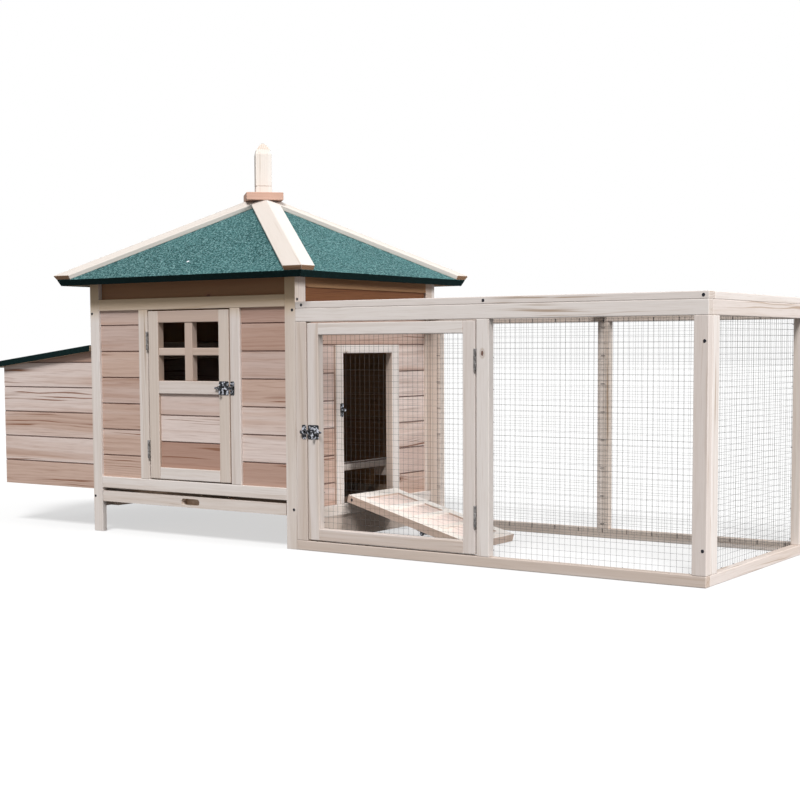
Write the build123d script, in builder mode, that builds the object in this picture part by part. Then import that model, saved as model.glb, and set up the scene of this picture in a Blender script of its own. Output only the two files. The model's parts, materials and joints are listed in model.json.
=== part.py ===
# Wooden chicken coop: a small house on posts with a hipped felt roof, a nest box on its left,
# a wire run on its right, a ramp that closes the pop-hole, and a tray that slides out at the front.
# Millimetres. X runs from the nest box to the run, Y from front to back, Z up from the ground.
# The origin is on the ground, midway along the length and midway from front to back.

import os
from math import acos, atan2, ceil, cos, degrees, floor, hypot, radians, sin, tan

from build123d import *

os.makedirs("parts", exist_ok=True)

# House and run
house_width = 650.0
house_depth = 570.0
run_length = 980.0
post_width = 30.0
post_depth = 13.0
side_stile_width = 26.0
frame_thickness = 20.0

# Tongued wall boards
board_thickness = 12.0
board_recess = 6.0
board_pitch = 64.0
board_vee = 2.0
tongue_height = 5.0
tongue_thickness = 4.0
tongue_clearance = 0.3
narrowest_rip = 14.0

# House walls
tray_top_gap = 8.0
front_rail_width = 28.0
door_opening_width = 262.0
door_opening_height = 410.0
jamb_width = 30.0
frieze_recess = 10.0
frieze_height = 61.0
side_sill_height = 62.0
side_rail_width = 26.0
plate_width = 45.0
skirt_clearance = 6.0
skirt_recess = 4.0
skirt_thickness = 12.0
front_joint_height = 128.0
side_joint_height = 76.0

# Pop-hole and ramp
pop_center_y = -5.0
pop_width = 200.0
pop_height = 354.0
pop_stile_width = 30.0
pop_head_width = 20.0
ramp_thickness = 18.0
ramp_side_gap = 2.0
ramp_top_gap = 2.5
ramp_stile_width = 30.0
ramp_board_thickness = 9.0
ramp_board_inset = 4.0
ramp_cleat_width = 15.0
ramp_cleat_thickness = 5.0
ramp_cleat_count = 3
ramp_tip_clearance = 1.0
ramp_bolt_distance = 220.0

# Roof
eave_overhang = 53.0
side_eave_overhang = 60.0
roof_rise = 200.0
roof_panel_thickness = 15.0
felt_thickness = 2.0
hip_board_width = 34.0
hip_board_thickness = 12.0
cap_side = 92.0
cap_thickness = 19.0
cap_turn = 45.0
finial_side = 40.0
finial_shaft = 96.0
finial_tip = 29.0
finial_tip_profile = ((0.0, 1.0), (0.42, 0.84), (0.76, 0.5), (1.0, 0.1))
finial_groove_height = 16.0
finial_groove_width = 2.0
finial_groove_depth = 1.5
tenon_side = 16.0
tenon_length = 15.0
tenon_clearance = 0.1

# Nest box
nest_reach = 340.0
nest_setback = 12.0
nest_floor_height = 104.0
nest_floor_thickness = 9.0
nest_wall_height = 450.0
nest_joint_height = 165.0
nest_sill_width = 32.0
nest_rail_width = 44.0
nest_divider_height = 190.0
nest_divider_thickness = 12.0
lid_slope = 6.8
lid_overhang = 30.0
lid_side_overhang = 15.0
lid_panel_thickness = 13.0

# House door
door_gap = 3.0
door_stile_width = 32.0
door_rail_width = 28.0
door_mid_rail_width = 31.0
window_height = 139.0
muntin_upright_width = 24.0
muntin_cross_width = 18.0
muntin_recess = 2.0
pane_thickness = 2.0
pane_overlap = 10.0
door_joint_rise = 62.0
door_hinge_inset = 71.0

# Run panels
run_below_eave = 67.3
run_top_thickness = 15.0
run_top_rail_width = 30.0
run_bottom_rail_width = 22.0
run_stile_width = 30.0
run_end_stile_width = 34.0
run_door_width = 438.0
run_door_rail_width = 26.0
run_door_hinge_inset = 80.0

# Welded mesh
mesh_pitch = 12.7
wire = 1.0
mesh_overlap = 9.0

# Dropping tray and perch
tray_front_thickness = 15.0
tray_front_width = 26.0
tray_end_gap = 2.0
tray_slot_length = 58.0
tray_slot_width = 16.0
tray_sheet = 1.0
tray_rim = 22.0
tray_side_gap = 4.0
tray_back_gap = 15.0
runner_width = 25.0
runner_thickness = 14.0
perch_side = 20.0
perch_chamfer = 4.0
perch_rise = 10.0
perch_from_right = 135.0
perch_end_gap = 2.0
perch_block_width = 50.0
perch_block_depth = 25.0
perch_notch_depth = 12.0
perch_notch_clearance = 0.2

# Butt hinges
hinge_height = 44.0
hinge_leaf_thickness = 1.2
hinge_leaf_depth = 17.0
knuckle_radius = 3.0
hinge_flat_count = 16
knuckle_length = 14.0
knuckle_gap = 0.3
pin_radius = 1.4
running_clearance = 0.06
hinge_lift = 0.2
ramp_hinge_spread = 130.0
lid_hinge_inset = 120.0

# Barrel bolts
bolt_plate_length = 30.0
bolt_plate_width = 32.0
bolt_plate_thickness = 1.2
bolt_plate_inset = 1.0
bolt_radius = 2.75
bolt_lift = 0.65
bolt_length = 38.0
bolt_nose_back = 1.0
loop_length = 6.5
loop_wall = 1.75
loop_shoulder = 2.6
lever_width = 5.0
lever_length = 15.0
lever_thickness = 2.0
lever_gap = 0.25
keeper_length = 12.0
keeper_clearance = 0.4
keeper_gap = 1.0

# Places that follow from the sizes above
lid_reach = nest_reach + lid_overhang
house_left = (lid_reach - house_width - run_length) / 2
house_right = house_left + house_width
house_middle = house_left + house_width / 2
run_end = house_right + run_length
front = -house_depth / 2
back = house_depth / 2
post_front = front + post_depth
post_back = back - post_depth
inner_front = post_front + side_stile_width
inner_back = post_back - side_stile_width
inner_left = house_left + post_width
inner_right = house_right - post_width
runner_top = side_sill_height + runner_thickness
front_sill_height = runner_top + tray_front_width + tray_top_gap
front_sill_top = front_sill_height + front_rail_width
front_head = front_sill_top + door_opening_height
front_head_top = front_head + front_rail_width
side_sill_top = side_sill_height + side_rail_width
eave_half_x = house_width / 2 + side_eave_overhang
eave_half_y = house_depth / 2 + eave_overhang
roof_thickness = felt_thickness + roof_panel_thickness
front_pitch = atan2(roof_rise, eave_half_y)
side_pitch = atan2(roof_rise, eave_half_x)
front_wall_top = front_head_top + frieze_height
eave_height = front_wall_top + roof_thickness / cos(front_pitch) - eave_overhang * tan(front_pitch)
side_wall_top = eave_height + side_eave_overhang * tan(side_pitch) - roof_thickness / cos(side_pitch)
plate_height = min(front_wall_top, side_wall_top) - plate_width
apex_height = eave_height + roof_rise
above_roof = apex_height
hip_plan = hypot(eave_half_x, eave_half_y)
nest_sill_top = side_sill_top + nest_sill_width
nest_rail_low = nest_wall_height - nest_rail_width / 2
nest_rail_high = nest_wall_height + nest_rail_width / 2
run_height = eave_height - run_below_eave
perch_height = front_sill_top + perch_rise
hinge_standoff = knuckle_radius + hinge_lift
bolt_height = bolt_plate_thickness + bolt_radius + bolt_lift
loop_half_width = bolt_radius + loop_wall
lever_back = bolt_plate_length / 2 - loop_length - lever_width / 2 - lever_gap


# Helpers
def stick(x, y, z, base=Plane.XY, trims=()):
    """Squared timber that fills three spans of a base plane, trimmed below each cutting plane."""
    with BuildPart() as piece:
        with BuildSketch(base.offset(z[0])):
            with Locations((sum(x) / 2, sum(y) / 2)):
                Rectangle(x[1] - x[0], y[1] - y[0])
        extrude(amount=z[1] - z[0])
        for trim in trims:
            split(bisect_by=trim, keep=Keep.BOTTOM)
    return piece.part


def save(name, pieces):
    """One node: its separate solids, side by side and unfused."""
    group = Compound([solid for piece in pieces for solid in piece.solids()])
    group.label = name
    export_step(group, f"parts/{name}.step")


def board_joints(low, high, first_joint):
    """Heights of the board edges from low to high, with no strip narrower than a rip."""
    start = ceil((low + narrowest_rip - first_joint) / board_pitch)
    stop = floor((high - narrowest_rip - first_joint) / board_pitch)
    return [low] + [first_joint + step * board_pitch for step in range(start, stop + 1)] + [high]


def board_outline(low, high, grooved, tongued):
    """Section of one board: outer face at 0, groove below, tongue above, vees at its joints."""
    middle = board_thickness / 2
    groove = tongue_thickness / 2 + tongue_clearance
    tongue = tongue_thickness / 2
    points = []
    if grooved:
        roof = low + tongue_height + tongue_clearance
        points += [(0, low + board_vee), (board_vee, low), (middle - groove, low)]
        points += [(middle - groove, roof), (middle + groove, roof), (middle + groove, low)]
    else:
        points += [(0, low)]
    points += [(board_thickness, low), (board_thickness, high)]
    if tongued:
        crest = high + tongue_height
        points += [(middle + tongue, high), (middle + tongue, crest), (middle - tongue, crest)]
        points += [(middle - tongue, high), (board_vee, high), (0, high - board_vee)]
    else:
        points += [(0, high)]
    return points


def boards(wall, span, low, high, first_joint, trims=(), grooved=False, tongued=False):
    """Tongued boards on a wall plane: local x goes in through the wall, y up, z along the boards.
    The lowest can be grooved to sit on boards below, and the highest tongued to carry more."""
    joints = board_joints(low, high, first_joint)
    pieces = []
    for lower, upper in zip(joints, joints[1:]):
        with BuildPart() as board:
            with BuildSketch(wall.offset(span[0])):
                with BuildLine():
                    Polyline(*board_outline(lower, upper, grooved or lower > low, tongued or upper < high),
                             close=True)
                make_face()
            extrude(amount=span[1] - span[0])
            for trim in trims:
                split(bisect_by=trim, keep=Keep.BOTTOM)
        pieces.append(board.part)
    return pieces


def mesh(face, width, height):
    """Welded mesh cut to fit a face plane: uprights, cross wires welded over them, a wire on each edge."""
    columns = floor((width - wire) / mesh_pitch)
    rows = floor((height - wire) / mesh_pitch)
    with BuildPart() as uprights:
        with BuildSketch(face):
            Rectangle(width, height)
            Rectangle(width - 2 * wire, height - 2 * wire, mode=Mode.SUBTRACT)
            with GridLocations(mesh_pitch, 0, columns, 1):
                Rectangle(wire, height)
        extrude(amount=wire)
    with BuildPart() as crossings:
        with BuildSketch(face.offset(wire)):
            Rectangle(width, height)
            Rectangle(width - 2 * wire, height - 2 * wire, mode=Mode.SUBTRACT)
            with GridLocations(0, mesh_pitch, 1, rows):
                Rectangle(width, wire)
        extrude(amount=wire)
    return [uprights.part, crossings.part]


def fixed_leaf(axis, reach):
    """Hinge half on the fixed side: leaf, end knuckles and pin. Local z is the pin's axis,
    x goes into the gap, y towards the moving side, and reach is the fixed face's distance."""
    foot = -hinge_height / 2
    tab_end = knuckle_radius + knuckle_gap
    leaf_y = hinge_leaf_thickness / 2 - reach
    with BuildPart() as leaf:
        with BuildSketch(axis.offset(foot)):
            with Locations(((tab_end + hinge_leaf_depth) / 2, leaf_y)):
                Rectangle(hinge_leaf_depth - tab_end, hinge_leaf_thickness)
        extrude(amount=hinge_height)
        for low in (foot, -foot - knuckle_length):
            with BuildSketch(axis.offset(low)):
                RegularPolygon(knuckle_radius, hinge_flat_count)
                with Locations((tab_end / 2, leaf_y)):
                    Rectangle(tab_end, hinge_leaf_thickness)
            extrude(amount=knuckle_length)
        with BuildSketch(axis.offset(foot)):
            RegularPolygon(pin_radius, hinge_flat_count)
        extrude(amount=hinge_height)
    return leaf.part


def moving_leaf(axis, reach):
    """Hinge half on the moving side: leaf and bored middle knuckle, about the same pin's axis."""
    foot = -hinge_height / 2
    tab_end = knuckle_radius + knuckle_gap
    leaf_y = reach - hinge_leaf_thickness / 2
    middle = hinge_height - 2 * (knuckle_length + knuckle_gap)
    with BuildPart() as leaf:
        with BuildSketch(axis.offset(foot)):
            with Locations(((tab_end + hinge_leaf_depth) / 2, leaf_y)):
                Rectangle(hinge_leaf_depth - tab_end, hinge_leaf_thickness)
        extrude(amount=hinge_height)
        with BuildSketch(axis.offset(-middle / 2)):
            RegularPolygon(knuckle_radius, hinge_flat_count)
            with Locations((tab_end / 2, leaf_y)):
                Rectangle(tab_end, hinge_leaf_thickness)
            RegularPolygon(pin_radius + running_clearance, hinge_flat_count, mode=Mode.SUBTRACT)
        extrude(amount=middle)
    return leaf.part


def across(at, distance):
    """Plane square to a bolt's travel, at a distance along it: x across the plate, y outward."""
    return Plane(origin=at.from_local_coords((distance, 0, 0)), x_dir=at.y_dir, z_dir=at.x_dir)


def loop_section(at, start, bore):
    """Section of the strap over a bolt, where it starts along the bolt's travel."""
    with BuildSketch(across(at, start)) as section:
        crown = bolt_height + bolt_radius + loop_wall
        top = loop_half_width - loop_shoulder
        with BuildLine():
            Polyline((-loop_half_width, 0), (loop_half_width, 0), (loop_half_width, crown - loop_shoulder),
                     (top, crown), (-top, crown), (-loop_half_width, crown - loop_shoulder), close=True)
        make_face()
        with Locations((0, bolt_height)):
            Circle(bore, mode=Mode.SUBTRACT)
    return section.sketch


def bolt_plate(at):
    """Back plate with two guide loops. Local x is the bolt's travel and z points off the timber."""
    with BuildPart() as plate:
        with BuildSketch(at):
            Rectangle(bolt_plate_length, bolt_plate_width)
        extrude(amount=bolt_plate_thickness)
        for start in (-bolt_plate_length / 2, bolt_plate_length / 2 - loop_length):
            extrude(loop_section(at, start, bolt_radius + running_clearance), amount=loop_length)
    return plate.part


def bolt_rod(at, hang):
    """Sliding bolt, drawn back, with a flat lever between the loops. Hang is the lever's side, 1 or -1."""
    nose = bolt_plate_length / 2 - bolt_nose_back
    with BuildPart() as rod:
        with BuildSketch(across(at, nose - bolt_length)):
            with Locations((0, bolt_height)):
                Circle(bolt_radius)
        extrude(amount=bolt_length)
        with BuildSketch(at.offset(bolt_height)):
            with Locations((-lever_back, hang * lever_length / 2)):
                Rectangle(lever_width, lever_length)
        extrude(amount=bolt_radius + lever_thickness)
        with BuildSketch(at.offset(bolt_height)):
            with Locations((-lever_back, hang * (lever_length + bolt_radius) / 2)):
                Rectangle(lever_width, lever_length - bolt_radius)
        extrude(amount=bolt_radius, mode=Mode.SUBTRACT)
    return rod.part


def bolt_keeper(at):
    """Keeper for the bolt's nose, across the gap from the plate."""
    start = bolt_plate_length / 2 + bolt_plate_inset + door_gap + keeper_gap
    with BuildPart() as keeper:
        with BuildSketch(at):
            with Locations((start + keeper_length / 2, 0)):
                Rectangle(keeper_length, bolt_plate_width)
        extrude(amount=bolt_plate_thickness)
        extrude(loop_section(at, start, bolt_radius + keeper_clearance), amount=keeper_length)
    return keeper.part


# Roof slopes: each plane starts at the apex, with x along the eave and y up the slope
def slope_plane(out_x, out_y, run):
    """Top of the felt on the slope that falls in the given direction over a level run."""
    angle = atan2(roof_rise, run)
    normal = (out_x * sin(angle), out_y * sin(angle), cos(angle))
    return Plane(origin=(house_middle, 0, apex_height), x_dir=(-out_y, out_x, 0), z_dir=normal)


def hip_cut(out_x, out_y, run, half, side):
    """Upright plane through one hip, facing out of the slope. Side is 1 or -1 along the eave."""
    normal = (-side * out_y * run - out_x * half, side * out_x * run - out_y * half, 0)
    return Plane(origin=(house_middle, 0, 0), z_dir=normal)


slopes = {
    "front": (0, -1, eave_half_y, eave_half_x),
    "back": (0, 1, eave_half_y, eave_half_x),
    "left": (-1, 0, eave_half_x, eave_half_y),
    "right": (1, 0, eave_half_x, eave_half_y),
}
under_roof = {}
for name, (out_x, out_y, run, half) in slopes.items():
    under_roof[name] = slope_plane(out_x, out_y, run).offset(-roof_thickness)

# House posts: planks at the four corners, with tops cut to both slopes that they carry
post_places = {
    "front_left": (house_left, front, "front", "left"),
    "front_right": (inner_right, front, "front", "right"),
    "back_left": (house_left, post_back, "back", "left"),
    "back_right": (inner_right, post_back, "back", "right"),
}
for name, (x, y, slope, side) in post_places.items():
    with BuildPart() as house_post:
        with BuildSketch():
            with Locations((x + post_width / 2, y + post_depth / 2)):
                Rectangle(post_width, post_depth)
        extrude(amount=above_roof)
        split(bisect_by=under_roof[slope], keep=Keep.BOTTOM)
        split(bisect_by=under_roof[side], keep=Keep.BOTTOM)
    house_post.part.label = f"house_post_{name}"
    export_step(house_post.part, f"parts/house_post_{name}.step")

# House front: rails, door jambs and the frieze under the eave
rail_y = (front, front + frame_thickness)
door_left = house_middle - door_opening_width / 2
door_right = house_middle + door_opening_width / 2
bay_left = door_left - jamb_width
bay_right = door_right + jamb_width
frieze_y = (front + frieze_recess, front + frame_thickness)
inner_x = (inner_left, inner_right)
save("house_front_frame", [
    stick(inner_x, rail_y, (front_sill_height, front_sill_top)),
    stick(inner_x, rail_y, (front_head, front_head_top)),
    stick((bay_left, door_left), rail_y, (front_sill_top, front_head)),
    stick((door_right, bay_right), rail_y, (front_sill_top, front_head)),
    stick(inner_x, frieze_y, (front_head_top, above_roof), trims=[under_roof["front"]]),
])

front_wall = Plane(origin=(0, front + board_recess, 0), x_dir=(0, 1, 0), z_dir=(1, 0, 0))
front_courses = (front_sill_top, front_head, front_joint_height)
save("house_front_boards", boards(front_wall, (inner_left, bay_left), *front_courses)
     + boards(front_wall, (bay_right, inner_right), *front_courses))

# House back: two rails and a full wall of boards
rail_y = (back - frame_thickness, back)
save("house_back_frame", [
    stick(inner_x, rail_y, (side_sill_height, side_sill_top)),
    stick(inner_x, rail_y, (plate_height, above_roof), trims=[under_roof["back"]]),
])

back_wall = Plane(origin=(0, back - board_recess, 0), x_dir=(0, -1, 0), z_dir=(-1, 0, 0))
side_courses = (side_sill_top, plate_height, side_joint_height)
save("house_back_boards", boards(back_wall, (-inner_right, -inner_left), *side_courses))

# House left side, open to the nest box between its sill and its rail
rail_x = (house_left, house_left + frame_thickness)
sill_y = (post_front, post_back)
front_stile_y = (post_front, inner_front)
back_stile_y = (inner_back, post_back)
inner_y = (inner_front, inner_back)
stile_z = (side_sill_top, above_roof)
save("house_left_frame", [
    stick(rail_x, sill_y, (side_sill_height, side_sill_top)),
    stick(rail_x, front_stile_y, stile_z, trims=[under_roof["front"], under_roof["left"]]),
    stick(rail_x, back_stile_y, stile_z, trims=[under_roof["back"], under_roof["left"]]),
    stick(rail_x, inner_y, (side_sill_top, nest_sill_top)),
    stick(rail_x, inner_y, (nest_rail_low, nest_rail_high)),
    stick(rail_x, inner_y, (plate_height, above_roof), trims=[under_roof["left"]]),
])

left_wall = Plane(origin=(house_left + board_recess, 0, 0), x_dir=(1, 0, 0), z_dir=(0, -1, 0))
left_courses = (nest_rail_high, plate_height, side_joint_height)
save("house_left_boards", boards(left_wall, (-inner_back, -inner_front), *left_courses))

# House right side, with the pop-hole frame between two bays of boards and a skirt below
rail_x = (house_right - frame_thickness, house_right)
skirt_x = (house_right - skirt_recess - skirt_thickness, house_right - skirt_recess)
save("house_right_frame", [
    stick(rail_x, sill_y, (side_sill_height, side_sill_top)),
    stick(rail_x, front_stile_y, stile_z, trims=[under_roof["front"], under_roof["right"]]),
    stick(rail_x, back_stile_y, stile_z, trims=[under_roof["back"], under_roof["right"]]),
    stick(rail_x, inner_y, (plate_height, above_roof), trims=[under_roof["right"]]),
    stick(skirt_x, sill_y, (skirt_clearance, side_sill_height)),
])

pop_front = pop_center_y - pop_width / 2
pop_back = pop_center_y + pop_width / 2
pop_head = side_sill_top + pop_height
pop_head_top = pop_head + pop_head_width
stile_front = pop_front - pop_stile_width
stile_back = pop_back + pop_stile_width
save("pop_hole_frame", [
    stick(rail_x, (stile_front, pop_front), (side_sill_top, pop_head_top)),
    stick(rail_x, (pop_back, stile_back), (side_sill_top, pop_head_top)),
    stick(rail_x, (pop_front, pop_back), (pop_head, pop_head_top)),
])

right_wall = Plane(origin=(house_right - board_recess, 0, 0), x_dir=(-1, 0, 0), z_dir=(0, 1, 0))
bay_courses = (side_sill_top, pop_head_top, side_joint_height)
save("house_right_boards", boards(right_wall, (inner_front, stile_front), *bay_courses, tongued=True)
     + boards(right_wall, (stile_back, inner_back), *bay_courses, tongued=True)
     + boards(right_wall, inner_y, pop_head_top, plate_height, side_joint_height, grooved=True))

# Roof: a panel and its felt on each slope, mitred along the hips and cut level under the cap
hip_board_rise = hip_board_thickness / cos(max(front_pitch, side_pitch))
cap_height = apex_height - roof_rise * cap_side / 2 / hip_plan + hip_board_rise
cap_seat = Plane.XY.offset(cap_height)
for name, (out_x, out_y, run, half) in slopes.items():
    slope = slope_plane(out_x, out_y, run)
    fall = hypot(run, roof_rise)
    spare = 2 * roof_thickness
    with BuildPart() as roof_panel:
        with BuildSketch(slope.offset(-roof_thickness)):
            with BuildLine():
                Polyline((-half - spare, felt_thickness - fall), (half + spare, felt_thickness - fall),
                         (spare, 0), (-spare, 0), close=True)
            make_face()
        extrude(amount=roof_panel_thickness)
        for side in (1, -1):
            split(bisect_by=hip_cut(out_x, out_y, run, half, side), keep=Keep.BOTTOM)
        split(bisect_by=cap_seat, keep=Keep.BOTTOM)
    roof_panel.part.label = f"roof_panel_{name}"
    export_step(roof_panel.part, f"parts/roof_panel_{name}.step")

felts = []
for out_x, out_y, run, half in slopes.values():
    slope = slope_plane(out_x, out_y, run)
    fall = hypot(run, roof_rise)
    spare = 2 * roof_thickness
    with BuildPart() as felt:
        with BuildSketch(slope.offset(-felt_thickness)):
            with BuildLine():
                Polyline((-half - spare, -fall), (half + spare, -fall), (spare, 0), (-spare, 0), close=True)
            make_face()
        extrude(amount=felt_thickness)
        with BuildSketch(slope.offset(-roof_thickness)):
            with Locations((0, felt_thickness / 2 - fall)):
                Rectangle(2 * (half + spare), felt_thickness)
        extrude(amount=roof_thickness)
        for side in (1, -1):
            split(bisect_by=hip_cut(out_x, out_y, run, half, side), keep=Keep.BOTTOM)
        split(bisect_by=cap_seat, keep=Keep.BOTTOM)
    felts.append(felt.part)
save("roof_felt", felts)

# Hip boards: two per hip, mitred over it, cut level under the cap and along the eaves
hip_boards = []
for out_x, out_y, run, half in slopes.values():
    slope = slope_plane(out_x, out_y, run)
    fall = hypot(run, roof_rise)
    cut_width = hip_board_width / sin(atan2(fall, half))
    spare = hip_board_thickness
    for side in (1, -1):
        middle_cut = Plane(origin=(house_middle, 0, 0), z_dir=(side * out_y, -side * out_x, 0))
        with BuildPart() as hip_board:
            with BuildSketch(slope):
                with BuildLine():
                    Polyline((-side * cut_width, 0), (side * spare, 0), (side * (half + spare), -fall),
                             (side * (half - cut_width), -fall), close=True)
                make_face()
            extrude(amount=hip_board_thickness)
            split(bisect_by=hip_cut(out_x, out_y, run, half, side), keep=Keep.BOTTOM)
            split(bisect_by=middle_cut, keep=Keep.BOTTOM)
            split(bisect_by=cap_seat, keep=Keep.BOTTOM)
        hip_boards.append(hip_board.part)
save("hip_boards", hip_boards)

# Cap block, turned to face the hips, and the finial in its socket
cap_top = cap_height + cap_thickness
with BuildPart() as roof_cap:
    with BuildSketch(cap_seat):
        with Locations((house_middle, 0)):
            Rectangle(cap_side, cap_side, rotation=cap_turn)
    extrude(amount=cap_thickness)
    with BuildSketch(Plane.XY.offset(cap_top)):
        with Locations((house_middle, 0)):
            Rectangle(tenon_side + 2 * tenon_clearance, tenon_side + 2 * tenon_clearance, rotation=cap_turn)
    extrude(amount=-tenon_length - tenon_clearance, mode=Mode.SUBTRACT)
roof_cap.part.label = "roof_cap"
export_step(roof_cap.part, "parts/roof_cap.step")

with BuildPart() as finial:
    with BuildSketch(Plane.XY.offset(cap_top)):
        with Locations((house_middle, 0)):
            Rectangle(finial_side, finial_side, rotation=cap_turn)
    extrude(amount=finial_shaft)
    for (low, wide), (high, narrow) in zip(finial_tip_profile, finial_tip_profile[1:]):
        rise = (high - low) * finial_tip
        lean = degrees(atan2((wide - narrow) * finial_side / 2, rise))
        with BuildSketch(Plane.XY.offset(cap_top + finial_shaft + low * finial_tip)):
            with Locations((house_middle, 0)):
                Rectangle(wide * finial_side, wide * finial_side, rotation=cap_turn)
        extrude(amount=rise, taper=lean)
    with BuildSketch(Plane.XY.offset(cap_top + finial_groove_height)):
        with Locations((house_middle, 0)):
            Rectangle(finial_side, finial_side, rotation=cap_turn)
            Rectangle(finial_side - 2 * finial_groove_depth, finial_side - 2 * finial_groove_depth,
                      rotation=cap_turn, mode=Mode.SUBTRACT)
    extrude(amount=finial_groove_width, mode=Mode.SUBTRACT)
    with BuildSketch(Plane.XY.offset(cap_top)):
        with Locations((house_middle, 0)):
            Rectangle(tenon_side, tenon_side, rotation=cap_turn)
    extrude(amount=-tenon_length)
finial.part.label = "finial"
export_step(finial.part, "parts/finial.step")

# Nest box: boarded walls under a sloping lid, a floor and a divider
slope_sin = sin(radians(lid_slope))
slope_cos = cos(radians(lid_slope))
nest_left = house_left - nest_reach
nest_front = front + nest_setback
nest_back = back - nest_setback
nest_inner_y = (nest_front + board_thickness, nest_back - board_thickness)
lid_plane = Plane(origin=(house_left, 0, nest_wall_height), x_dir=(slope_cos, 0, slope_sin),
                  z_dir=(-slope_sin, 0, slope_cos))
nest_courses = (nest_floor_height, nest_wall_height, nest_joint_height, [lid_plane])
nest_front_wall = Plane(origin=(0, nest_front, 0), x_dir=(0, 1, 0), z_dir=(1, 0, 0))
nest_back_wall = Plane(origin=(0, nest_back, 0), x_dir=(0, -1, 0), z_dir=(-1, 0, 0))
nest_outer_wall = Plane(origin=(nest_left, 0, 0), x_dir=(1, 0, 0), z_dir=(0, -1, 0))
outer_height = nest_wall_height - (nest_reach - board_thickness) * tan(radians(lid_slope))
save("nest_side_boards", boards(nest_front_wall, (nest_left, house_left), *nest_courses)
     + boards(nest_back_wall, (-house_left, -nest_left), *nest_courses))
save("nest_outer_boards", boards(nest_outer_wall, (-nest_inner_y[1], -nest_inner_y[0]), nest_floor_height,
                                 outer_height, nest_joint_height, [lid_plane]))

nest_inner_x = (nest_left + board_thickness, house_left)
nest_floor_top = nest_floor_height + nest_floor_thickness
with BuildPart() as nest_floor:
    with BuildSketch(Plane.XY.offset(nest_floor_height)):
        with Locations((sum(nest_inner_x) / 2, 0)):
            Rectangle(nest_inner_x[1] - nest_inner_x[0], nest_inner_y[1] - nest_inner_y[0])
    extrude(amount=nest_floor_thickness)
nest_floor.part.label = "nest_floor"
export_step(nest_floor.part, "parts/nest_floor.step")

with BuildPart() as nest_divider:
    with BuildSketch(Plane.XY.offset(nest_floor_top)):
        with Locations((sum(nest_inner_x) / 2, 0)):
            Rectangle(nest_inner_x[1] - nest_inner_x[0], nest_divider_thickness)
    extrude(amount=nest_divider_height)
nest_divider.part.label = "nest_divider"
export_step(nest_divider.part, "parts/nest_divider.step")

# Nest lid: a panel with felt lapped over its three free edges
lid_gap = hinge_standoff + door_gap / 2
lid_thickness = lid_panel_thickness + felt_thickness
lid_length = (lid_reach - lid_thickness * slope_sin) / slope_cos
lid_width = nest_back - nest_front + 2 * lid_side_overhang
lid_back_cut = Plane(origin=(house_left - lid_gap, 0, 0), z_dir=(1, 0, 0))
with BuildPart() as nest_lid_panel:
    with BuildSketch(lid_plane):
        with Locations((felt_thickness / 2 - lid_length / 2, 0)):
            Rectangle(lid_length - felt_thickness, lid_width - 2 * felt_thickness)
    extrude(amount=lid_panel_thickness)
    split(bisect_by=lid_back_cut, keep=Keep.BOTTOM)
nest_lid_panel.part.label = "nest_lid_panel"
export_step(nest_lid_panel.part, "parts/nest_lid_panel.step")

with BuildPart() as nest_lid_felt:
    with BuildSketch(lid_plane):
        with Locations((-lid_length / 2, 0)):
            Rectangle(lid_length, lid_width)
        with Locations((felt_thickness / 2 - lid_length / 2, 0)):
            Rectangle(lid_length - felt_thickness, lid_width - 2 * felt_thickness, mode=Mode.SUBTRACT)
    extrude(amount=lid_thickness)
    with BuildSketch(lid_plane.offset(lid_panel_thickness)):
        with Locations((-lid_length / 2, 0)):
            Rectangle(lid_length, lid_width)
    extrude(amount=felt_thickness)
    split(bisect_by=lid_back_cut, keep=Keep.BOTTOM)
nest_lid_felt.part.label = "nest_lid_felt"
export_step(nest_lid_felt.part, "parts/nest_lid_felt.step")

# House door: stiles and rails, window bars, three boards and a clear pane
leaf_left = door_left + door_gap
leaf_right = door_right - door_gap
leaf_low = front_sill_top + door_gap
leaf_high = front_head - door_gap
leaf_y = (front, front + frame_thickness)
window_x = (leaf_left + door_stile_width, leaf_right - door_stile_width)
window_high = leaf_high - door_rail_width
window_low = window_high - window_height
mid_rail_low = window_low - door_mid_rail_width
boards_low = leaf_low + door_rail_width
bar_y = (front + muntin_recess, front + frame_thickness)
bar_x = (house_middle - muntin_upright_width / 2, house_middle + muntin_upright_width / 2)
bar_middle = (window_low + window_high) / 2
bar_z = (bar_middle - muntin_cross_width / 2, bar_middle + muntin_cross_width / 2)
save("house_door_frame", [
    stick((leaf_left, window_x[0]), leaf_y, (leaf_low, leaf_high)),
    stick((window_x[1], leaf_right), leaf_y, (leaf_low, leaf_high)),
    stick(window_x, leaf_y, (leaf_low, boards_low)),
    stick(window_x, leaf_y, (mid_rail_low, window_low)),
    stick(window_x, leaf_y, (window_high, leaf_high)),
    stick(bar_x, bar_y, (window_low, window_high)),
    stick((window_x[0], bar_x[0]), bar_y, bar_z),
    stick((bar_x[1], window_x[1]), bar_y, bar_z),
])
first_door_joint = boards_low + door_joint_rise
save("house_door_boards", boards(front_wall, window_x, boards_low, mid_rail_low, first_door_joint))

with BuildPart() as window_pane:
    with BuildSketch(Plane(origin=(house_middle, leaf_y[1], bar_middle), x_dir=(-1, 0, 0), z_dir=(0, 1, 0))):
        Rectangle(window_x[1] - window_x[0] + 2 * pane_overlap, window_height + 2 * pane_overlap)
    extrude(amount=pane_thickness)
window_pane.part.label = "window_pane"
export_step(window_pane.part, "parts/window_pane.step")

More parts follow.
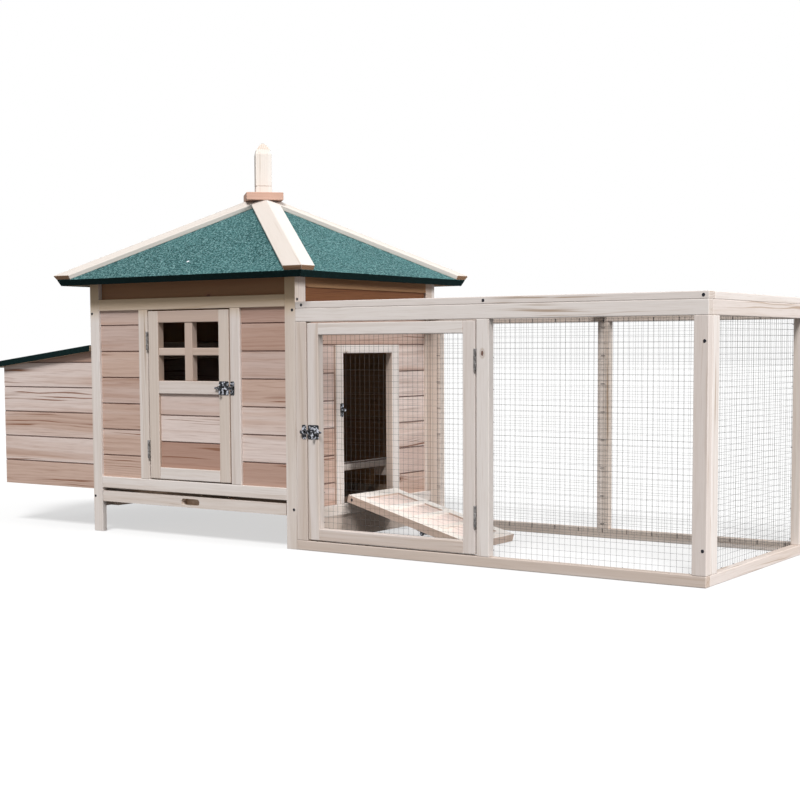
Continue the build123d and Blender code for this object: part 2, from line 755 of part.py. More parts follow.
# Run front: a frame with a doorway and one meshed bay
run_panel_top = run_height - run_top_thickness
run_rail_low = run_panel_top - run_top_rail_width
run_x = (house_right, run_end)
run_front_y = (front, front + frame_thickness)
run_back_y = (back - frame_thickness, back)
run_stile_z = (run_bottom_rail_width, run_rail_low)
run_door_left = house_right + run_stile_width + door_gap
run_door_right = run_door_left + run_door_width
mid_stile_x = (run_door_right + door_gap, run_door_right + door_gap + run_stile_width)
end_stile_x = (run_end - run_stile_width, run_end)
first_stile_x = (house_right, house_right + run_stile_width)
for name, panel_y in (("front", run_front_y), ("back", run_back_y)):
    save(f"run_{name}_frame", [
        stick(run_x, panel_y, (0, run_bottom_rail_width)),
        stick(run_x, panel_y, (run_rail_low, run_panel_top)),
        stick(first_stile_x, panel_y, run_stile_z),
        stick(mid_stile_x, panel_y, run_stile_z),
        stick(end_stile_x, panel_y, run_stile_z),
    ])

bay_width = end_stile_x[0] - mid_stile_x[1]
bay_height = run_stile_z[1] - run_stile_z[0]
bay_middle_z = sum(run_stile_z) / 2
bay_face = Plane(origin=(mid_stile_x[1] + bay_width / 2, run_front_y[1], bay_middle_z), x_dir=(-1, 0, 0),
                 z_dir=(0, 1, 0))
save("run_front_mesh", mesh(bay_face, bay_width + 2 * mesh_overlap, bay_height + 2 * mesh_overlap))

back_bay = (first_stile_x[1], end_stile_x[0])
back_face = Plane(origin=(sum(back_bay) / 2, run_back_y[0], bay_middle_z), x_dir=(1, 0, 0), z_dir=(0, -1, 0))
save("run_back_mesh", mesh(back_face, back_bay[1] - back_bay[0] + 2 * mesh_overlap,
                           bay_height + 2 * mesh_overlap))

# Run end, between the front and back panels
end_x = (run_end - frame_thickness, run_end)
end_y = (run_front_y[1], run_back_y[0])
end_bay = (end_y[0] + run_end_stile_width, end_y[1] - run_end_stile_width)
save("run_end_frame", [
    stick(end_x, end_y, (0, run_bottom_rail_width)),
    stick(end_x, end_y, (run_rail_low, run_panel_top)),
    stick(end_x, (end_y[0], end_bay[0]), run_stile_z),
    stick(end_x, (end_bay[1], end_y[1]), run_stile_z),
])
end_face = Plane(origin=(end_x[0], sum(end_bay) / 2, bay_middle_z), x_dir=(0, -1, 0), z_dir=(-1, 0, 0))
save("run_end_mesh", mesh(end_face, end_bay[1] - end_bay[0] + 2 * mesh_overlap,
                          bay_height + 2 * mesh_overlap))

# Run top, a meshed frame laid on the three panels
top_z = (run_panel_top, run_height)
top_front_y = (front, front + run_stile_width)
top_back_y = (back - run_stile_width, back)
top_inner_y = (top_front_y[1], top_back_y[0])
save("run_top_frame", [
    stick(run_x, top_front_y, top_z),
    stick(run_x, top_back_y, top_z),
    stick(first_stile_x, top_inner_y, top_z),
    stick(mid_stile_x, top_inner_y, top_z),
    stick(end_stile_x, top_inner_y, top_z),
])
top_face = Plane(origin=(sum(back_bay) / 2, 0, run_panel_top), x_dir=(1, 0, 0), z_dir=(0, 0, -1))
save("run_top_mesh", mesh(top_face, back_bay[1] - back_bay[0] + 2 * mesh_overlap,
                          top_inner_y[1] - top_inner_y[0] + 2 * mesh_overlap))

# Run door, hung on the middle stile
run_door_low = run_stile_z[0] + door_gap
run_door_high = run_stile_z[1] - door_gap
run_door_x = (run_door_left + run_stile_width, run_door_right - run_stile_width)
run_door_z = (run_door_low + run_door_rail_width, run_door_high - run_door_rail_width)
save("run_door_frame", [
    stick((run_door_left, run_door_x[0]), run_front_y, (run_door_low, run_door_high)),
    stick((run_door_x[1], run_door_right), run_front_y, (run_door_low, run_door_high)),
    stick(run_door_x, run_front_y, (run_door_low, run_door_z[0])),
    stick(run_door_x, run_front_y, (run_door_z[1], run_door_high)),
])
run_door_face = Plane(origin=(sum(run_door_x) / 2, run_front_y[1], sum(run_door_z) / 2), x_dir=(-1, 0, 0),
                      z_dir=(0, 1, 0))
save("run_door_mesh", mesh(run_door_face, run_door_x[1] - run_door_x[0] + 2 * mesh_overlap,
                           run_door_z[1] - run_door_z[0] + 2 * mesh_overlap))

# Ramp, lowered to the ground: x runs down its length from the hinge pin, z is its upper side
ramp_pin = (house_right + hinge_standoff, side_sill_top + door_gap / 2)
ramp_start = door_gap / 2
ramp_stop = pop_head - ramp_top_gap - ramp_pin[1]
ramp_arm = hypot(ramp_stop, hinge_standoff)
ramp_turn = acos((ramp_tip_clearance - ramp_pin[1]) / ramp_arm) + atan2(hinge_standoff, ramp_stop)
ramp_plane = Plane(origin=(ramp_pin[0], pop_center_y, ramp_pin[1]), x_dir=(sin(ramp_turn), 0, cos(ramp_turn)),
                   z_dir=(-cos(ramp_turn), 0, sin(ramp_turn)))
ramp_half = pop_width / 2 - ramp_side_gap
ramp_inner = ramp_half - ramp_stile_width
ramp_z = (hinge_standoff, hinge_standoff + ramp_thickness)
ramp_x = (ramp_start + ramp_stile_width, ramp_stop - ramp_stile_width)
save("ramp_frame", [
    stick((ramp_start, ramp_stop), (-ramp_half, -ramp_inner), ramp_z, ramp_plane),
    stick((ramp_start, ramp_stop), (ramp_inner, ramp_half), ramp_z, ramp_plane),
    stick((ramp_start, ramp_x[0]), (-ramp_inner, ramp_inner), ramp_z, ramp_plane),
    stick((ramp_x[1], ramp_stop), (-ramp_inner, ramp_inner), ramp_z, ramp_plane),
])

ramp_board_top = ramp_z[1] - ramp_board_inset
ramp_board_z = (ramp_board_top - ramp_board_thickness, ramp_board_top)
save("ramp_board", [stick(ramp_x, (-ramp_inner, ramp_inner), ramp_board_z, ramp_plane)])

cleat_step = (ramp_x[1] - ramp_x[0]) / (ramp_cleat_count + 1)
cleat_z = (ramp_board_top, ramp_board_top + ramp_cleat_thickness)
cleats = []
for number in range(1, ramp_cleat_count + 1):
    cleat_middle = ramp_x[0] + number * cleat_step
    cleat_x = (cleat_middle - ramp_cleat_width / 2, cleat_middle + ramp_cleat_width / 2)
    cleats.append(stick(cleat_x, (-ramp_inner, ramp_inner), cleat_z, ramp_plane))
save("ramp_cleats", cleats)

# Dropping tray on two runners
runner_z = (side_sill_height, runner_top)
runner_left = house_left + frame_thickness
runner_right = house_right - frame_thickness
save("tray_runners", [
    stick((runner_left, runner_left + runner_width), inner_y, runner_z),
    stick((runner_right - runner_width, runner_right), inner_y, runner_z),
])

tray_length = inner_right - inner_left - 2 * tray_end_gap
tray_face = Plane(origin=(house_middle, front + tray_front_thickness, runner_top + tray_front_width / 2),
                  x_dir=(1, 0, 0), z_dir=(0, -1, 0))
with BuildPart() as tray_front:
    with BuildSketch(tray_face):
        Rectangle(tray_length, tray_front_width)
        SlotOverall(tray_slot_length, tray_slot_width, mode=Mode.SUBTRACT)
    extrude(amount=tray_front_thickness)
tray_front.part.label = "tray_front"
export_step(tray_front.part, "parts/tray_front.step")

pan_y = (front + tray_front_thickness, back - frame_thickness - tray_back_gap)
with BuildPart() as tray_pan:
    with BuildSketch(Plane.XY.offset(runner_top)):
        with Locations((house_middle, sum(pan_y) / 2)):
            Rectangle(inner_right - inner_left - 2 * tray_side_gap, pan_y[1] - pan_y[0])
    extrude(amount=tray_rim)
    rim = tray_pan.faces().sort_by(Axis.Z)[-1]
    offset(amount=-tray_sheet, openings=rim)
tray_pan.part.label = "tray_pan"
export_step(tray_pan.part, "parts/tray_pan.step")

# Perch in two notched blocks
perch_x = house_right - perch_from_right
block_low = perch_height - perch_block_depth
block_high = perch_height + perch_notch_depth
front_seat = front + frame_thickness
back_seat = back - board_recess - board_thickness
block_ends = ((front_seat, front_seat + perch_block_depth), (back_seat - perch_block_depth, back_seat))
perch_blocks = []
for block_y in block_ends:
    with BuildPart() as perch_block:
        with BuildSketch(Plane.XY.offset(block_low)):
            with Locations((perch_x, sum(block_y) / 2)):
                Rectangle(perch_block_width, perch_block_depth)
        extrude(amount=block_high - block_low)
        with BuildSketch(Plane.XY.offset(perch_height)):
            with Locations((perch_x, sum(block_y) / 2)):
                Rectangle(perch_side + 2 * perch_notch_clearance, perch_block_depth)
        extrude(amount=perch_notch_depth, mode=Mode.SUBTRACT)
    perch_blocks.append(perch_block.part)
save("perch_blocks", perch_blocks)

perch_y = (block_ends[0][0] + perch_end_gap, block_ends[1][1] - perch_end_gap)
with BuildPart() as perch:
    with BuildSketch(Plane.XY.offset(perch_height)):
        with Locations((perch_x, sum(perch_y) / 2)):
            Rectangle(perch_side, perch_y[1] - perch_y[0])
    extrude(amount=perch_side)
    chamfer(perch.edges().filter_by(Axis.Y).group_by(Axis.Z)[-1], perch_chamfer)
perch.part.label = "perch"
export_step(perch.part, "parts/perch.step")

# Hinges: each pin's plane has z along the pin, x into the gap and y towards the moving side
pin_y = front - hinge_standoff
half_gap = door_gap / 2
house_door_pins = []
for pin_z in (leaf_low + door_hinge_inset, leaf_high - door_hinge_inset):
    pin_place = (door_left + half_gap, pin_y, pin_z)
    house_door_pins.append(Plane(origin=pin_place, x_dir=(0, 1, 0), z_dir=(0, 0, -1)))
run_door_pins = []
for pin_z in (run_door_low + run_door_hinge_inset, run_door_high - run_door_hinge_inset):
    pin_place = (run_door_right + half_gap, pin_y, pin_z)
    run_door_pins.append(Plane(origin=pin_place, x_dir=(0, 1, 0), z_dir=(0, 0, 1)))
ramp_sill_pins = []
ramp_pins = []
for pin_shift in (-ramp_hinge_spread / 2, ramp_hinge_spread / 2):
    pin_place = (ramp_pin[0], pop_center_y + pin_shift, ramp_pin[1])
    ramp_sill_pins.append(Plane(origin=pin_place, x_dir=(-1, 0, 0), z_dir=(0, 1, 0)))
    ramp_pins.append(Plane(origin=pin_place, x_dir=ramp_plane.z_dir, z_dir=(0, 1, 0)))
lid_back_rise = nest_wall_height - lid_gap * tan(radians(lid_slope)) + lid_thickness / slope_cos
lid_pins = []
for pin_place_y in (nest_front + lid_hinge_inset, nest_back - lid_hinge_inset):
    pin_place = (house_left - hinge_standoff, pin_place_y, lid_back_rise + hinge_standoff)
    lid_pins.append(Plane(origin=pin_place, x_dir=(0, 0, -1), z_dir=(0, 1, 0)))

door_pins = house_door_pins + run_door_pins + ramp_sill_pins
save("hinge_fixed_leaves", [fixed_leaf(pin, half_gap) for pin in door_pins]
     + [fixed_leaf(pin, hinge_standoff) for pin in lid_pins])
save("house_door_hinges", [moving_leaf(pin, half_gap) for pin in house_door_pins])
save("run_door_hinges", [moving_leaf(pin, half_gap) for pin in run_door_pins])
save("ramp_hinges", [moving_leaf(pin, half_gap) for pin in ramp_pins])
save("nest_lid_hinges", [moving_leaf(pin, half_gap) for pin in lid_pins])

# Barrel bolts: each plane lies on the timber, with x along the bolt's travel and z off the timber
plate_back = bolt_plate_length / 2 + bolt_plate_inset
house_place = (leaf_right - plate_back, front, (mid_rail_low + window_low) / 2)
house_bolt = Plane(origin=house_place, x_dir=(1, 0, 0), z_dir=(0, -1, 0))
run_place = (run_door_left + plate_back, front, (run_door_low + run_door_high) / 2)
run_bolt = Plane(origin=run_place, x_dir=(-1, 0, 0), z_dir=(0, -1, 0))
ramp_bolt_side = plate_back - ramp_half
ramp_place = ramp_plane.from_local_coords((ramp_bolt_distance, ramp_bolt_side, hinge_standoff))
ramp_bolt = Plane(origin=ramp_place, x_dir=(0, -1, 0), z_dir=-ramp_plane.z_dir)
keeper_place = (house_right, pop_center_y + ramp_bolt_side, ramp_pin[1] + ramp_bolt_distance)
ramp_keeper = Plane(origin=keeper_place, x_dir=(0, -1, 0), z_dir=(1, 0, 0))
save("bolt_keepers", [bolt_keeper(house_bolt), bolt_keeper(run_bolt), bolt_keeper(ramp_keeper)])
for name, plane, hang in (("house_door", house_bolt, -1), ("run_door", run_bolt, 1), ("ramp", ramp_bolt, 1)):
    save(f"{name}_bolt_plate", [bolt_plate(plane)])
    save(f"{name}_bolt", [bolt_rod(plane, hang)])
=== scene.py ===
import json
import random
from math import pi, radians

import bmesh
import bpy
from bpy.props import FloatProperty, FloatVectorProperty, PointerProperty
from mathutils import Matrix, Vector


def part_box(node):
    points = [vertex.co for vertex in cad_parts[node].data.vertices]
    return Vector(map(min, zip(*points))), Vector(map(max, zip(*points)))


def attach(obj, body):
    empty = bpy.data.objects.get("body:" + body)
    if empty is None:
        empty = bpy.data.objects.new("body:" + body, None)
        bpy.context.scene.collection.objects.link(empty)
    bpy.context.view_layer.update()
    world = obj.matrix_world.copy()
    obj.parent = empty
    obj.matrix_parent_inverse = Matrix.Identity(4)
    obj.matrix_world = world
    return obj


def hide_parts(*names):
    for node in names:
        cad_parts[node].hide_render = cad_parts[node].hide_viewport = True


bl_info = {
    "name": "Wooden chicken coop",
    "version": (1, 0, 0),
    "blender": (4, 5, 0),
    "location": "View3D > Sidebar > Coop",
    "description": "Dresses the hen house, its nest box, run, doors, ramp and tray",
    "category": "Object",
}

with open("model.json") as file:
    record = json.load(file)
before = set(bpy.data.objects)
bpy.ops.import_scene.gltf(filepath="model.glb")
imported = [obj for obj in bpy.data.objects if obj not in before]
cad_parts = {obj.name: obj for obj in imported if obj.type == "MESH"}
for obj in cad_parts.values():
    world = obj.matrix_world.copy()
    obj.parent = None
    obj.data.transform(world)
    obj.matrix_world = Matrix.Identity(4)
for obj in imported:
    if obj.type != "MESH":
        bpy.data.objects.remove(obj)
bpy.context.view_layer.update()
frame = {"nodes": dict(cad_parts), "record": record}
nodes = frame["nodes"]
node_bodies = {node: body for body, held in frame["record"]["behaviour"]["bodies"].items() for node in held}
node_slots = {entry["node"]: entry["material_slot"] for entry in frame["record"]["subparts"]}

# Seeds for the nodes where the default draw puts the light and dark sticks in the wrong places
lots = {
    "house_post_front_left": 17, "house_post_front_right": 5138, "house_front_frame": 8307,
    "house_door_frame": 16290, "house_front_boards": 31490, "house_door_boards": 6731,
    "house_right_boards": 14828, "nest_side_boards": 15513, "pop_hole_frame": 10629,
    "run_front_frame": 6372, "run_end_frame": 1191, "run_top_frame": 18067, "run_door_frame": 11158,
    "ramp_board": 197, "tray_front": 6250,
}

# Heights where the brown frieze and the top board painted dark as eave shade begin, and where the painted amber
# eave shade begins and is full
frieze_height, top_board_height = 0.58, 0.53
eave_shade_low, eave_shade_high = 0.515, 0.575

# A face looks a certain way, is a cut end or lies on top from these shares of a direction in its normal
facing, end_share, top_share = 0.5, 0.55, 0.6

# Where a stick's grain may start, along it, across it and through it
grain_spans = (0, 40), (-0.045, 0.045), (-0.01, 0.03)

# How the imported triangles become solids: their corners are compared in steps of 0.01 mm
steps_per_metre, merge_distance, flat_angle = 1e5, 2e-6, radians(0.8)

# Rounding of edges, and of plate corners, whose edges are as long as the plate is thick
sharp_angle, edge_segments, corner_segments, plate_tolerance = radians(25.0), 2, 5, 5e-5

# How far a side of the vee between two boards leans, and its least width
least_lean, most_lean, vee_width = 0.45, 0.9, 0.0012

# Staples in from a sheet's edge and on the stile beside the run door, and the most that a screw is turned
staple_inset, stile_middle, screw_turn = 0.0045, 0.018, 1.5


# Sizes and colours that a user would change

def length(name, description, default):
    """A length in metres for the sidebar."""
    return FloatProperty(name=name, description=description, default=default, min=0.0, unit="LENGTH",
                         precision=5)


def colour(name, description, default):
    """A colour for the sidebar."""
    return FloatVectorProperty(name=name, description=description, default=default, size=3, min=0.0,
                               max=1.0, subtype="COLOR")


class CoopSizes(bpy.types.PropertyGroup):
    """Small sizes of the dressed coop."""
    frame_round: length("Frame edge", "Rounding of the frame timber's edges", 0.0016)
    board_round: length("Board edge", "Rounding of the boards' edges", 0.0005)
    felt_round: length("Felt edge", "Rounding of the felt's edges", 0.0009)
    steel_round: length("Hardware edge", "Rounding of the hinges and bolts", 0.0002)
    plate_corner: length("Plate corner", "Rounding of the bolt plates' corners", 0.0035)
    plate_thickness: length("Plate thickness", "Thickness of the bolt plates", 0.0012)
    mesh_pitch: length("Mesh pitch", "Spacing of the welded wires", 0.0127)
    wire_thickness: length("Wire thickness", "Diameter of the welded wires", 0.00045)
    screw_head: length("Screw head", "Diameter of the frame screws' heads", 0.0072)
    plate_screw_head: length("Plate screw head", "Diameter of the bolt plates' screws", 0.0046)
    nail_head: length("Felt nail head", "Diameter of the felt nail's head", 0.0065)
    staple_width: length("Staple width", "Width of the mesh staples", 0.0085)
    staple_wire: length("Staple wire", "Diameter of the staples' wire", 0.0011)
    staple_spacing: length("Staple spacing", "Distance between staples", 0.065)


class CoopColours(bpy.types.PropertyGroup):
    """Finishes of the dressed coop."""
    frame_pale: colour("Frame timber", "Posts, rails and stiles", (0.765, 0.705, 0.67))
    frame_warm: colour("Frame heartwood", "Warmer bands of the frame timber", (0.65, 0.56, 0.495))
    frame_streak: colour("Frame streak", "Dark growth lines of the frame timber", (0.38, 0.27, 0.19))
    # Painted shade: a warm amber that stands for the eaves' shade high on the frame
    frame_eave_shade: colour("Sheltered timber", "Frame timber under the eaves", (0.60, 0.44, 0.27))
    # Browner timber: partly the bars' own colour, and painted shade on the sides and reveals of sticks
    bar_pale: colour("Bar timber", "Window bars, sides and reveals", (0.60, 0.48, 0.41))
    bar_and_shade_warm: colour("Bar heartwood", "Darker bands of the browner timber", (0.49, 0.37, 0.30))
    board_pale: colour("Board sapwood", "Pale bands of the boards", (0.73, 0.615, 0.568))
    board_warm: colour("Board heartwood", "Warm bands of the boards", (0.572, 0.411, 0.338))
    board_streak: colour("Board streak", "Dark growth lines of the boards", (0.24, 0.115, 0.07))
    # Painted shade: the near-black colour of the vee between boards stands for the shade in the groove
    joint: colour("Board joint", "Dark vee between two boards", (0.06, 0.016, 0.007))
    # Brown timber, made darker as painted eave shade on the frieze and the plate, and used as painted shade on
    # the walls' inner faces
    frieze_pale: colour("Frieze timber", "Brown boards under the eaves and inside", (0.40, 0.235, 0.125))
    frieze_and_shade_warm: colour("Frieze heartwood", "Darker bands of the brown boards", (0.30, 0.16, 0.075))
    # Painted shade: a dark brown that stands for the eave's shadow on the top board above the run
    eave_pale: colour("Eave timber", "Dark brown board above the run", (0.225, 0.092, 0.037))
    dark_board_shade_warm: colour("Eave heartwood", "Darker bands of that board", (0.160, 0.062, 0.024))
    # The finial and the ramp use lighter copies of this timber as painted light
    hip_pale: colour("Hip timber", "Palest timber, of hips, finial and ramp", (0.70, 0.665, 0.63))
    hip_warm: colour("Hip heartwood", "Warmer bands of the palest timber", (0.66, 0.60, 0.55))
    end_grain: colour("Hip end grain", "Cut ends of the hip boards", (0.22, 0.112, 0.050))
    cap_pale: colour("Cap timber", "Reddish timber of the cap block", (0.54, 0.345, 0.27))
    cap_warm: colour("Cap heartwood", "Darker bands of the cap block", (0.45, 0.25, 0.175))
    knot: colour("Knot", "Heart of the knots", (0.12, 0.045, 0.025))
    plywood: colour("Plywood", "Roof and lid panels", (0.42, 0.31, 0.215))
    felt_deep: colour("Felt shade", "Darkest granules of the felt", (0.012, 0.042, 0.044))
    felt_green: colour("Felt green", "Main granules of the felt", (0.082, 0.198, 0.200))
    felt_light: colour("Felt light", "Palest granules of the felt", (0.23, 0.37, 0.375))
    # Painted shade: the near-black colour on the felt's faces that do not face up stands for the shade on its
    # lapped edges
    felt_lip_shade: colour("Felt lap", "Painted shade where the felt laps an edge", (0.0045, 0.0135, 0.0135))
    # Partly painted highlight: the bolts' bright parts and dark patches stand for reflections
    bolt_steel: colour("Bolt steel", "Plated steel of the barrel bolts", (0.60, 0.62, 0.69))
    hinge_steel: colour("Hinge steel", "Zinc-plated steel of the hinges", (0.24, 0.23, 0.225))
    # Partly painted shade: the wire is darker than galvanised wire, to stand for the shadows that the wires
    # cast on the timber
    wire: colour("Wire", "Galvanised welded wire", (0.085, 0.081, 0.078))
    sheet: colour("Sheet", "Dusty sheet of the tray's pan", (0.33, 0.235, 0.17))
    screw: colour("Screws", "Blackened screw heads", (0.022, 0.022, 0.028))
    # Partly painted highlight: a pale zinc head made near white for its glint
    nail: colour("Felt nail", "Bright head of the felt nail", (0.86, 0.86, 0.90))


# Shader graphs

class Value:
    """A shader socket that takes part in Python sums and products."""

    def __init__(self, graph, socket):
        self.graph = graph
        self.socket = socket

    def maths(self, operation, *others):
        return self.graph.maths(operation, self, *others)

    def __add__(self, other):
        return self.maths("ADD", other)

    def __sub__(self, other):
        return self.maths("SUBTRACT", other)

    def __rsub__(self, other):
        return self.graph.maths("SUBTRACT", other, self)

    def __mul__(self, other):
        return self.maths("MULTIPLY", other)

    def __truediv__(self, other):
        return self.maths("DIVIDE", other)

    def __rtruediv__(self, other):
        return self.graph.maths("DIVIDE", other, self)

    __radd__ = __add__
    __rmul__ = __mul__


class Graph:
    """A shader tree whose nodes are added one expression at a time."""

    def __init__(self, tree):
        self.tree = tree

    def plug(self, socket, value):
        """Links a value to a socket, or sets the socket to it."""
        if isinstance(value, Value):
            self.tree.links.new(value.socket, socket)
        else:
            socket.default_value = value

    def add(self, kind, settings, values, output=0):
        """A node of this kind: settings first, then a list or dict of socket values or links."""
        node = self.tree.nodes.new(kind)
        for key, value in settings.items():
            setattr(node, key, value)
        pairs = values.items() if isinstance(values, dict) else enumerate(values)
        for key, value in pairs:
            self.plug(node.inputs[key], value)
        return Value(self, node.outputs[output])

    def maths(self, operation, *values):
        return self.add("ShaderNodeMath", {"operation": operation}, values)

    def other(self, value, output):
        """Another output of the node that gave this value."""
        return Value(self, value.socket.node.outputs[output])

    def end(self, output, lighting, seen):
        """Ends in one shader for the rays that light the coop and another for the rays that see this."""
        camera = self.add("ShaderNodeLightPath", {}, {}, "Is Camera Ray")
        factor = camera.maths("MAXIMUM", self.other(camera, "Is Glossy Ray"))
        factor = factor.maths("MAXIMUM", self.other(camera, "Is Transmission Ray"))
        shown = self.add("ShaderNodeMixShader", {}, {0: factor, 1: lighting, 2: seen})
        self.plug(self.tree.nodes[output].inputs["Surface"], shown)


class Finish(Graph):
    """A material with the patterns that the coop's finishes share."""

    def __init__(self, name, sheen=0.22):
        self.material = bpy.data.materials.new(name)
        self.material.use_nodes = True
        super().__init__(self.material.node_tree)
        self.shader = self.tree.nodes["Principled BSDF"]
        self.shader.inputs["Specular IOR Level"].default_value = sheen

    def attribute(self, name, output="Fac"):
        return self.add("ShaderNodeAttribute", {"attribute_name": name}, {}, output)

    def place(self):
        return self.add("ShaderNodeTexCoord", {}, {}, "Object")

    def stretch(self, vector, factors):
        return self.add("ShaderNodeVectorMath", {"operation": "MULTIPLY"}, [vector, factors])

    def parts(self, vector):
        first = self.add("ShaderNodeSeparateXYZ", {}, [vector], "X")
        return first, self.other(first, "Y"), self.other(first, "Z")

    def joined(self, first, second, third):
        return self.add("ShaderNodeCombineXYZ", {}, [first, second, third])

    def noise(self, vector, scale, detail=2.0, rough=0.5):
        values = {"Vector": vector, "Scale": scale, "Detail": detail, "Roughness": rough}
        return self.add("ShaderNodeTexNoise", {}, values, "Fac")

    def cells(self, vector, scale):
        """Two numbers picked at random for each cell, and the distance from the cell's middle."""
        lot = self.add("ShaderNodeTexVoronoi", {}, {"Vector": vector, "Scale": scale}, "Color")
        return (*self.parts(lot)[:2], self.other(lot, "Distance"))

    def blend(self, factor, first, second):
        """A colour between two, by a factor from 0 to 1."""
        return self.add("ShaderNodeMix", {"data_type": "RGBA"},
                        {0: factor, 6: self.paint(first), 7: self.paint(second)}, 2)

    @staticmethod
    def paint(value):
        return value if isinstance(value, Value) else (*value, 1.0)

    def ramp(self, value, low, high, start=0.0, end=1.0):
        """The value's range from low to high, eased between start and end."""
        return self.add("ShaderNodeMapRange", {"interpolation_type": "SMOOTHSTEP"},
                        {"Value": value, "From Min": low, "From Max": high, "To Min": start, "To Max": end})

    def surface(self, colour, roughness, metallic=0.0, bump=None, height=0.001, strength=0.3):
        values = {"Base Color": self.paint(colour), "Roughness": roughness, "Metallic": metallic}
        if bump is not None:
            values["Normal"] = self.add(
                "ShaderNodeBump", {}, {"Strength": strength, "Distance": height, "Height": bump}, "Normal")
        for name, value in values.items():
            self.plug(self.shader.inputs[name], value)
        return self.material


def scaled(tint, factor):
    """A colour made lighter or darker."""
    return tuple(min(1.0, part * factor) for part in tint)


def timber(name, pale, warm, streak, knots, depth, figure, ends=None, sheltered=None):
    """Softwood that follows each stick's own grain: sap and heart bands, growth lines, knots and cut ends,
    and painted amber shade high up when an eave shade tint is given. Knots is the share of cells that have
    one, depth sets the sticks apart, and figure brings out the growth lines."""
    cells_long, cells_wide = 4.2, 11.0
    knot_flatness, knot_least, knot_range, knot_ragged = 0.35, 0.0022, 0.0045, 0.002
    bow_reach, bow_narrowness, wander_reach = 0.05, 2600.0, 0.034
    pith_depth, rings_per_metre = 0.055, 205.0
    deep_shares = (0.70, 0.58, 0.54)
    paint = bpy.context.scene.coop_colours
    wood = Finish(name)
    grain = wood.attribute("grain", "Vector")
    tone = wood.attribute("tone")
    along, across, through = wood.parts(grain)
    # Knots: one to a cell of the stick's face, in some cells only
    cells = wood.stretch(grain, (cells_long, cells_wide, 0.0))
    nearest = wood.add("ShaderNodeTexVoronoi", {"voronoi_dimensions": "2D"},
                       {"Vector": cells, "Scale": 1.0, "Randomness": 0.85}, "Position")
    lot, girth, pull = wood.parts(wood.other(nearest, "Color"))
    offset = wood.stretch(wood.add("ShaderNodeVectorMath", {"operation": "SUBTRACT"}, [cells, nearest]),
                          (1 / cells_long, 1 / cells_wide, 0.0))
    knot_x, knot_y = wood.parts(offset)[:2]
    away = ((knot_x * knot_x) * knot_flatness + knot_y * knot_y).maths("SQRT")
    ragged = away + (wood.noise(grain, 260.0, 2.0) - 0.5) * knot_ragged
    present = wood.ramp(lot, 1.0 - knots, 1.0 - knots + 0.02)
    spread = ragged / (girth * knot_range + knot_least)
    heart = wood.ramp(spread, 0.75, 1.05, 1.0, 0.0) * present
    ring = wood.ramp(spread, 0.95, 1.25) * wood.ramp(spread, 1.25, 2.3, 1.0, 0.0) * present
    # Growth lines bow round the knots and wander along the stick
    bow = (away * away * -bow_narrowness).maths("EXPONENT") * present * (pull - 0.5) * bow_reach
    wander = (wood.noise(wood.stretch(grain, (1.9, 7.0, 7.0)), 1.0, 3.0) - 0.5) * wander_reach
    lie = across + wander + bow
    core = through + pith_depth
    rings = (lie * lie + core * core).maths("SQRT") * rings_per_metre
    saw = rings.maths("FRACT")
    line = wood.ramp(saw, 0.20, 0.92) * wood.ramp(saw, 0.94, 1.0, 1.0, 0.0)
    bands = wood.noise(wood.joined(along * 0.75, lie * 25.0, core * 25.0), 1.0, 3.0, 0.6)
    heartwood = wood.ramp(bands + tone * 0.40 - 0.20, 0.36, 0.64)
    streaks = wood.noise(wood.joined(along * 2.8, lie * 190.0, core * 190.0), 1.0, 2.0)
    rare = wood.ramp(wood.noise(wood.stretch(grain, (2.3, 15.0, 15.0)), 1.0, 1.0), 0.50, 0.64)
    fibre = wood.noise(wood.stretch(grain, (16.0, 620.0, 620.0)), 1.0, 2.0)
    # A second draw from the tone, for how deep the whole stick is
    shade = (tone * 7.31).maths("FRACT")
    colour = wood.blend(heartwood, pale, warm)
    colour = wood.blend(wood.ramp(shade, 0.2, 1.0) * (0.85 * depth * depth), colour,
                        [part * share for part, share in zip(warm, deep_shares)])
    colour = wood.blend(line * wood.ramp(bands, 0.40, 0.72, 0.03, 0.25) * figure, colour, streak)
    colour = wood.blend(wood.ramp(streaks, 0.56, 0.70) * rare * (0.92 * figure), colour, streak)
    colour = wood.blend(wood.ramp(fibre, 0.45, 0.85) * (0.28 * figure), colour, streak)
    colour = wood.blend(ring * 0.5, colour, streak)
    colour = wood.blend(heart * 0.92, colour, paint.knot)
    cut = 0.90 + line * 0.10 if ends else 0.20 + line * 0.30
    colour = wood.blend(wood.attribute("end") * cut, colour, ends or streak)
    colour = wood.blend(wood.attribute("worn") * 0.18, colour, scaled(pale, 1.10))
    # Painted shade: a warm tint that deepens towards the eaves
    if sheltered:
        height = wood.parts(wood.place())[2]
        colour = wood.blend(wood.ramp(height, eave_shade_low, eave_shade_high) * 0.85, colour, sheltered)
    # Painted shade in the vee between boards, darkest on the side that faces down
    colour = wood.blend(wood.attribute("joint") * 0.92, colour, paint.joint)
    rough = 0.56 + fibre * 0.16 - heart * 0.15
    return wood.surface(colour, rough, bump=fibre * 0.5 - line * 0.35 + heart * 0.4, height=0.0004,
                        strength=0.35)


def plywood(name, face):
    """Plain sheet wood with flame grain and edge plies."""
    plies_per_metre = 700.0
    wood = Finish(name)
    grain = wood.attribute("grain", "Vector")
    flame = wood.noise(wood.stretch(grain, (2.0, 22.0, 22.0)), 1.0, 4.0, 0.6)
    fibre = wood.noise(wood.stretch(grain, (12.0, 500.0, 500.0)), 1.0, 2.0)
    plies = (wood.parts(grain)[2] * plies_per_metre).maths("FRACT")
    colour = wood.blend(wood.ramp(flame, 0.3, 0.75), scaled(face, 1.12), scaled(face, 0.72))
    edge = wood.attribute("end") * wood.ramp(plies, 0.4, 0.6) * 0.5
    colour = wood.blend(edge, colour, scaled(face, 0.5))
    return wood.surface(colour, 0.6 + fibre * 0.2, bump=fibre, height=0.0004, strength=0.3)


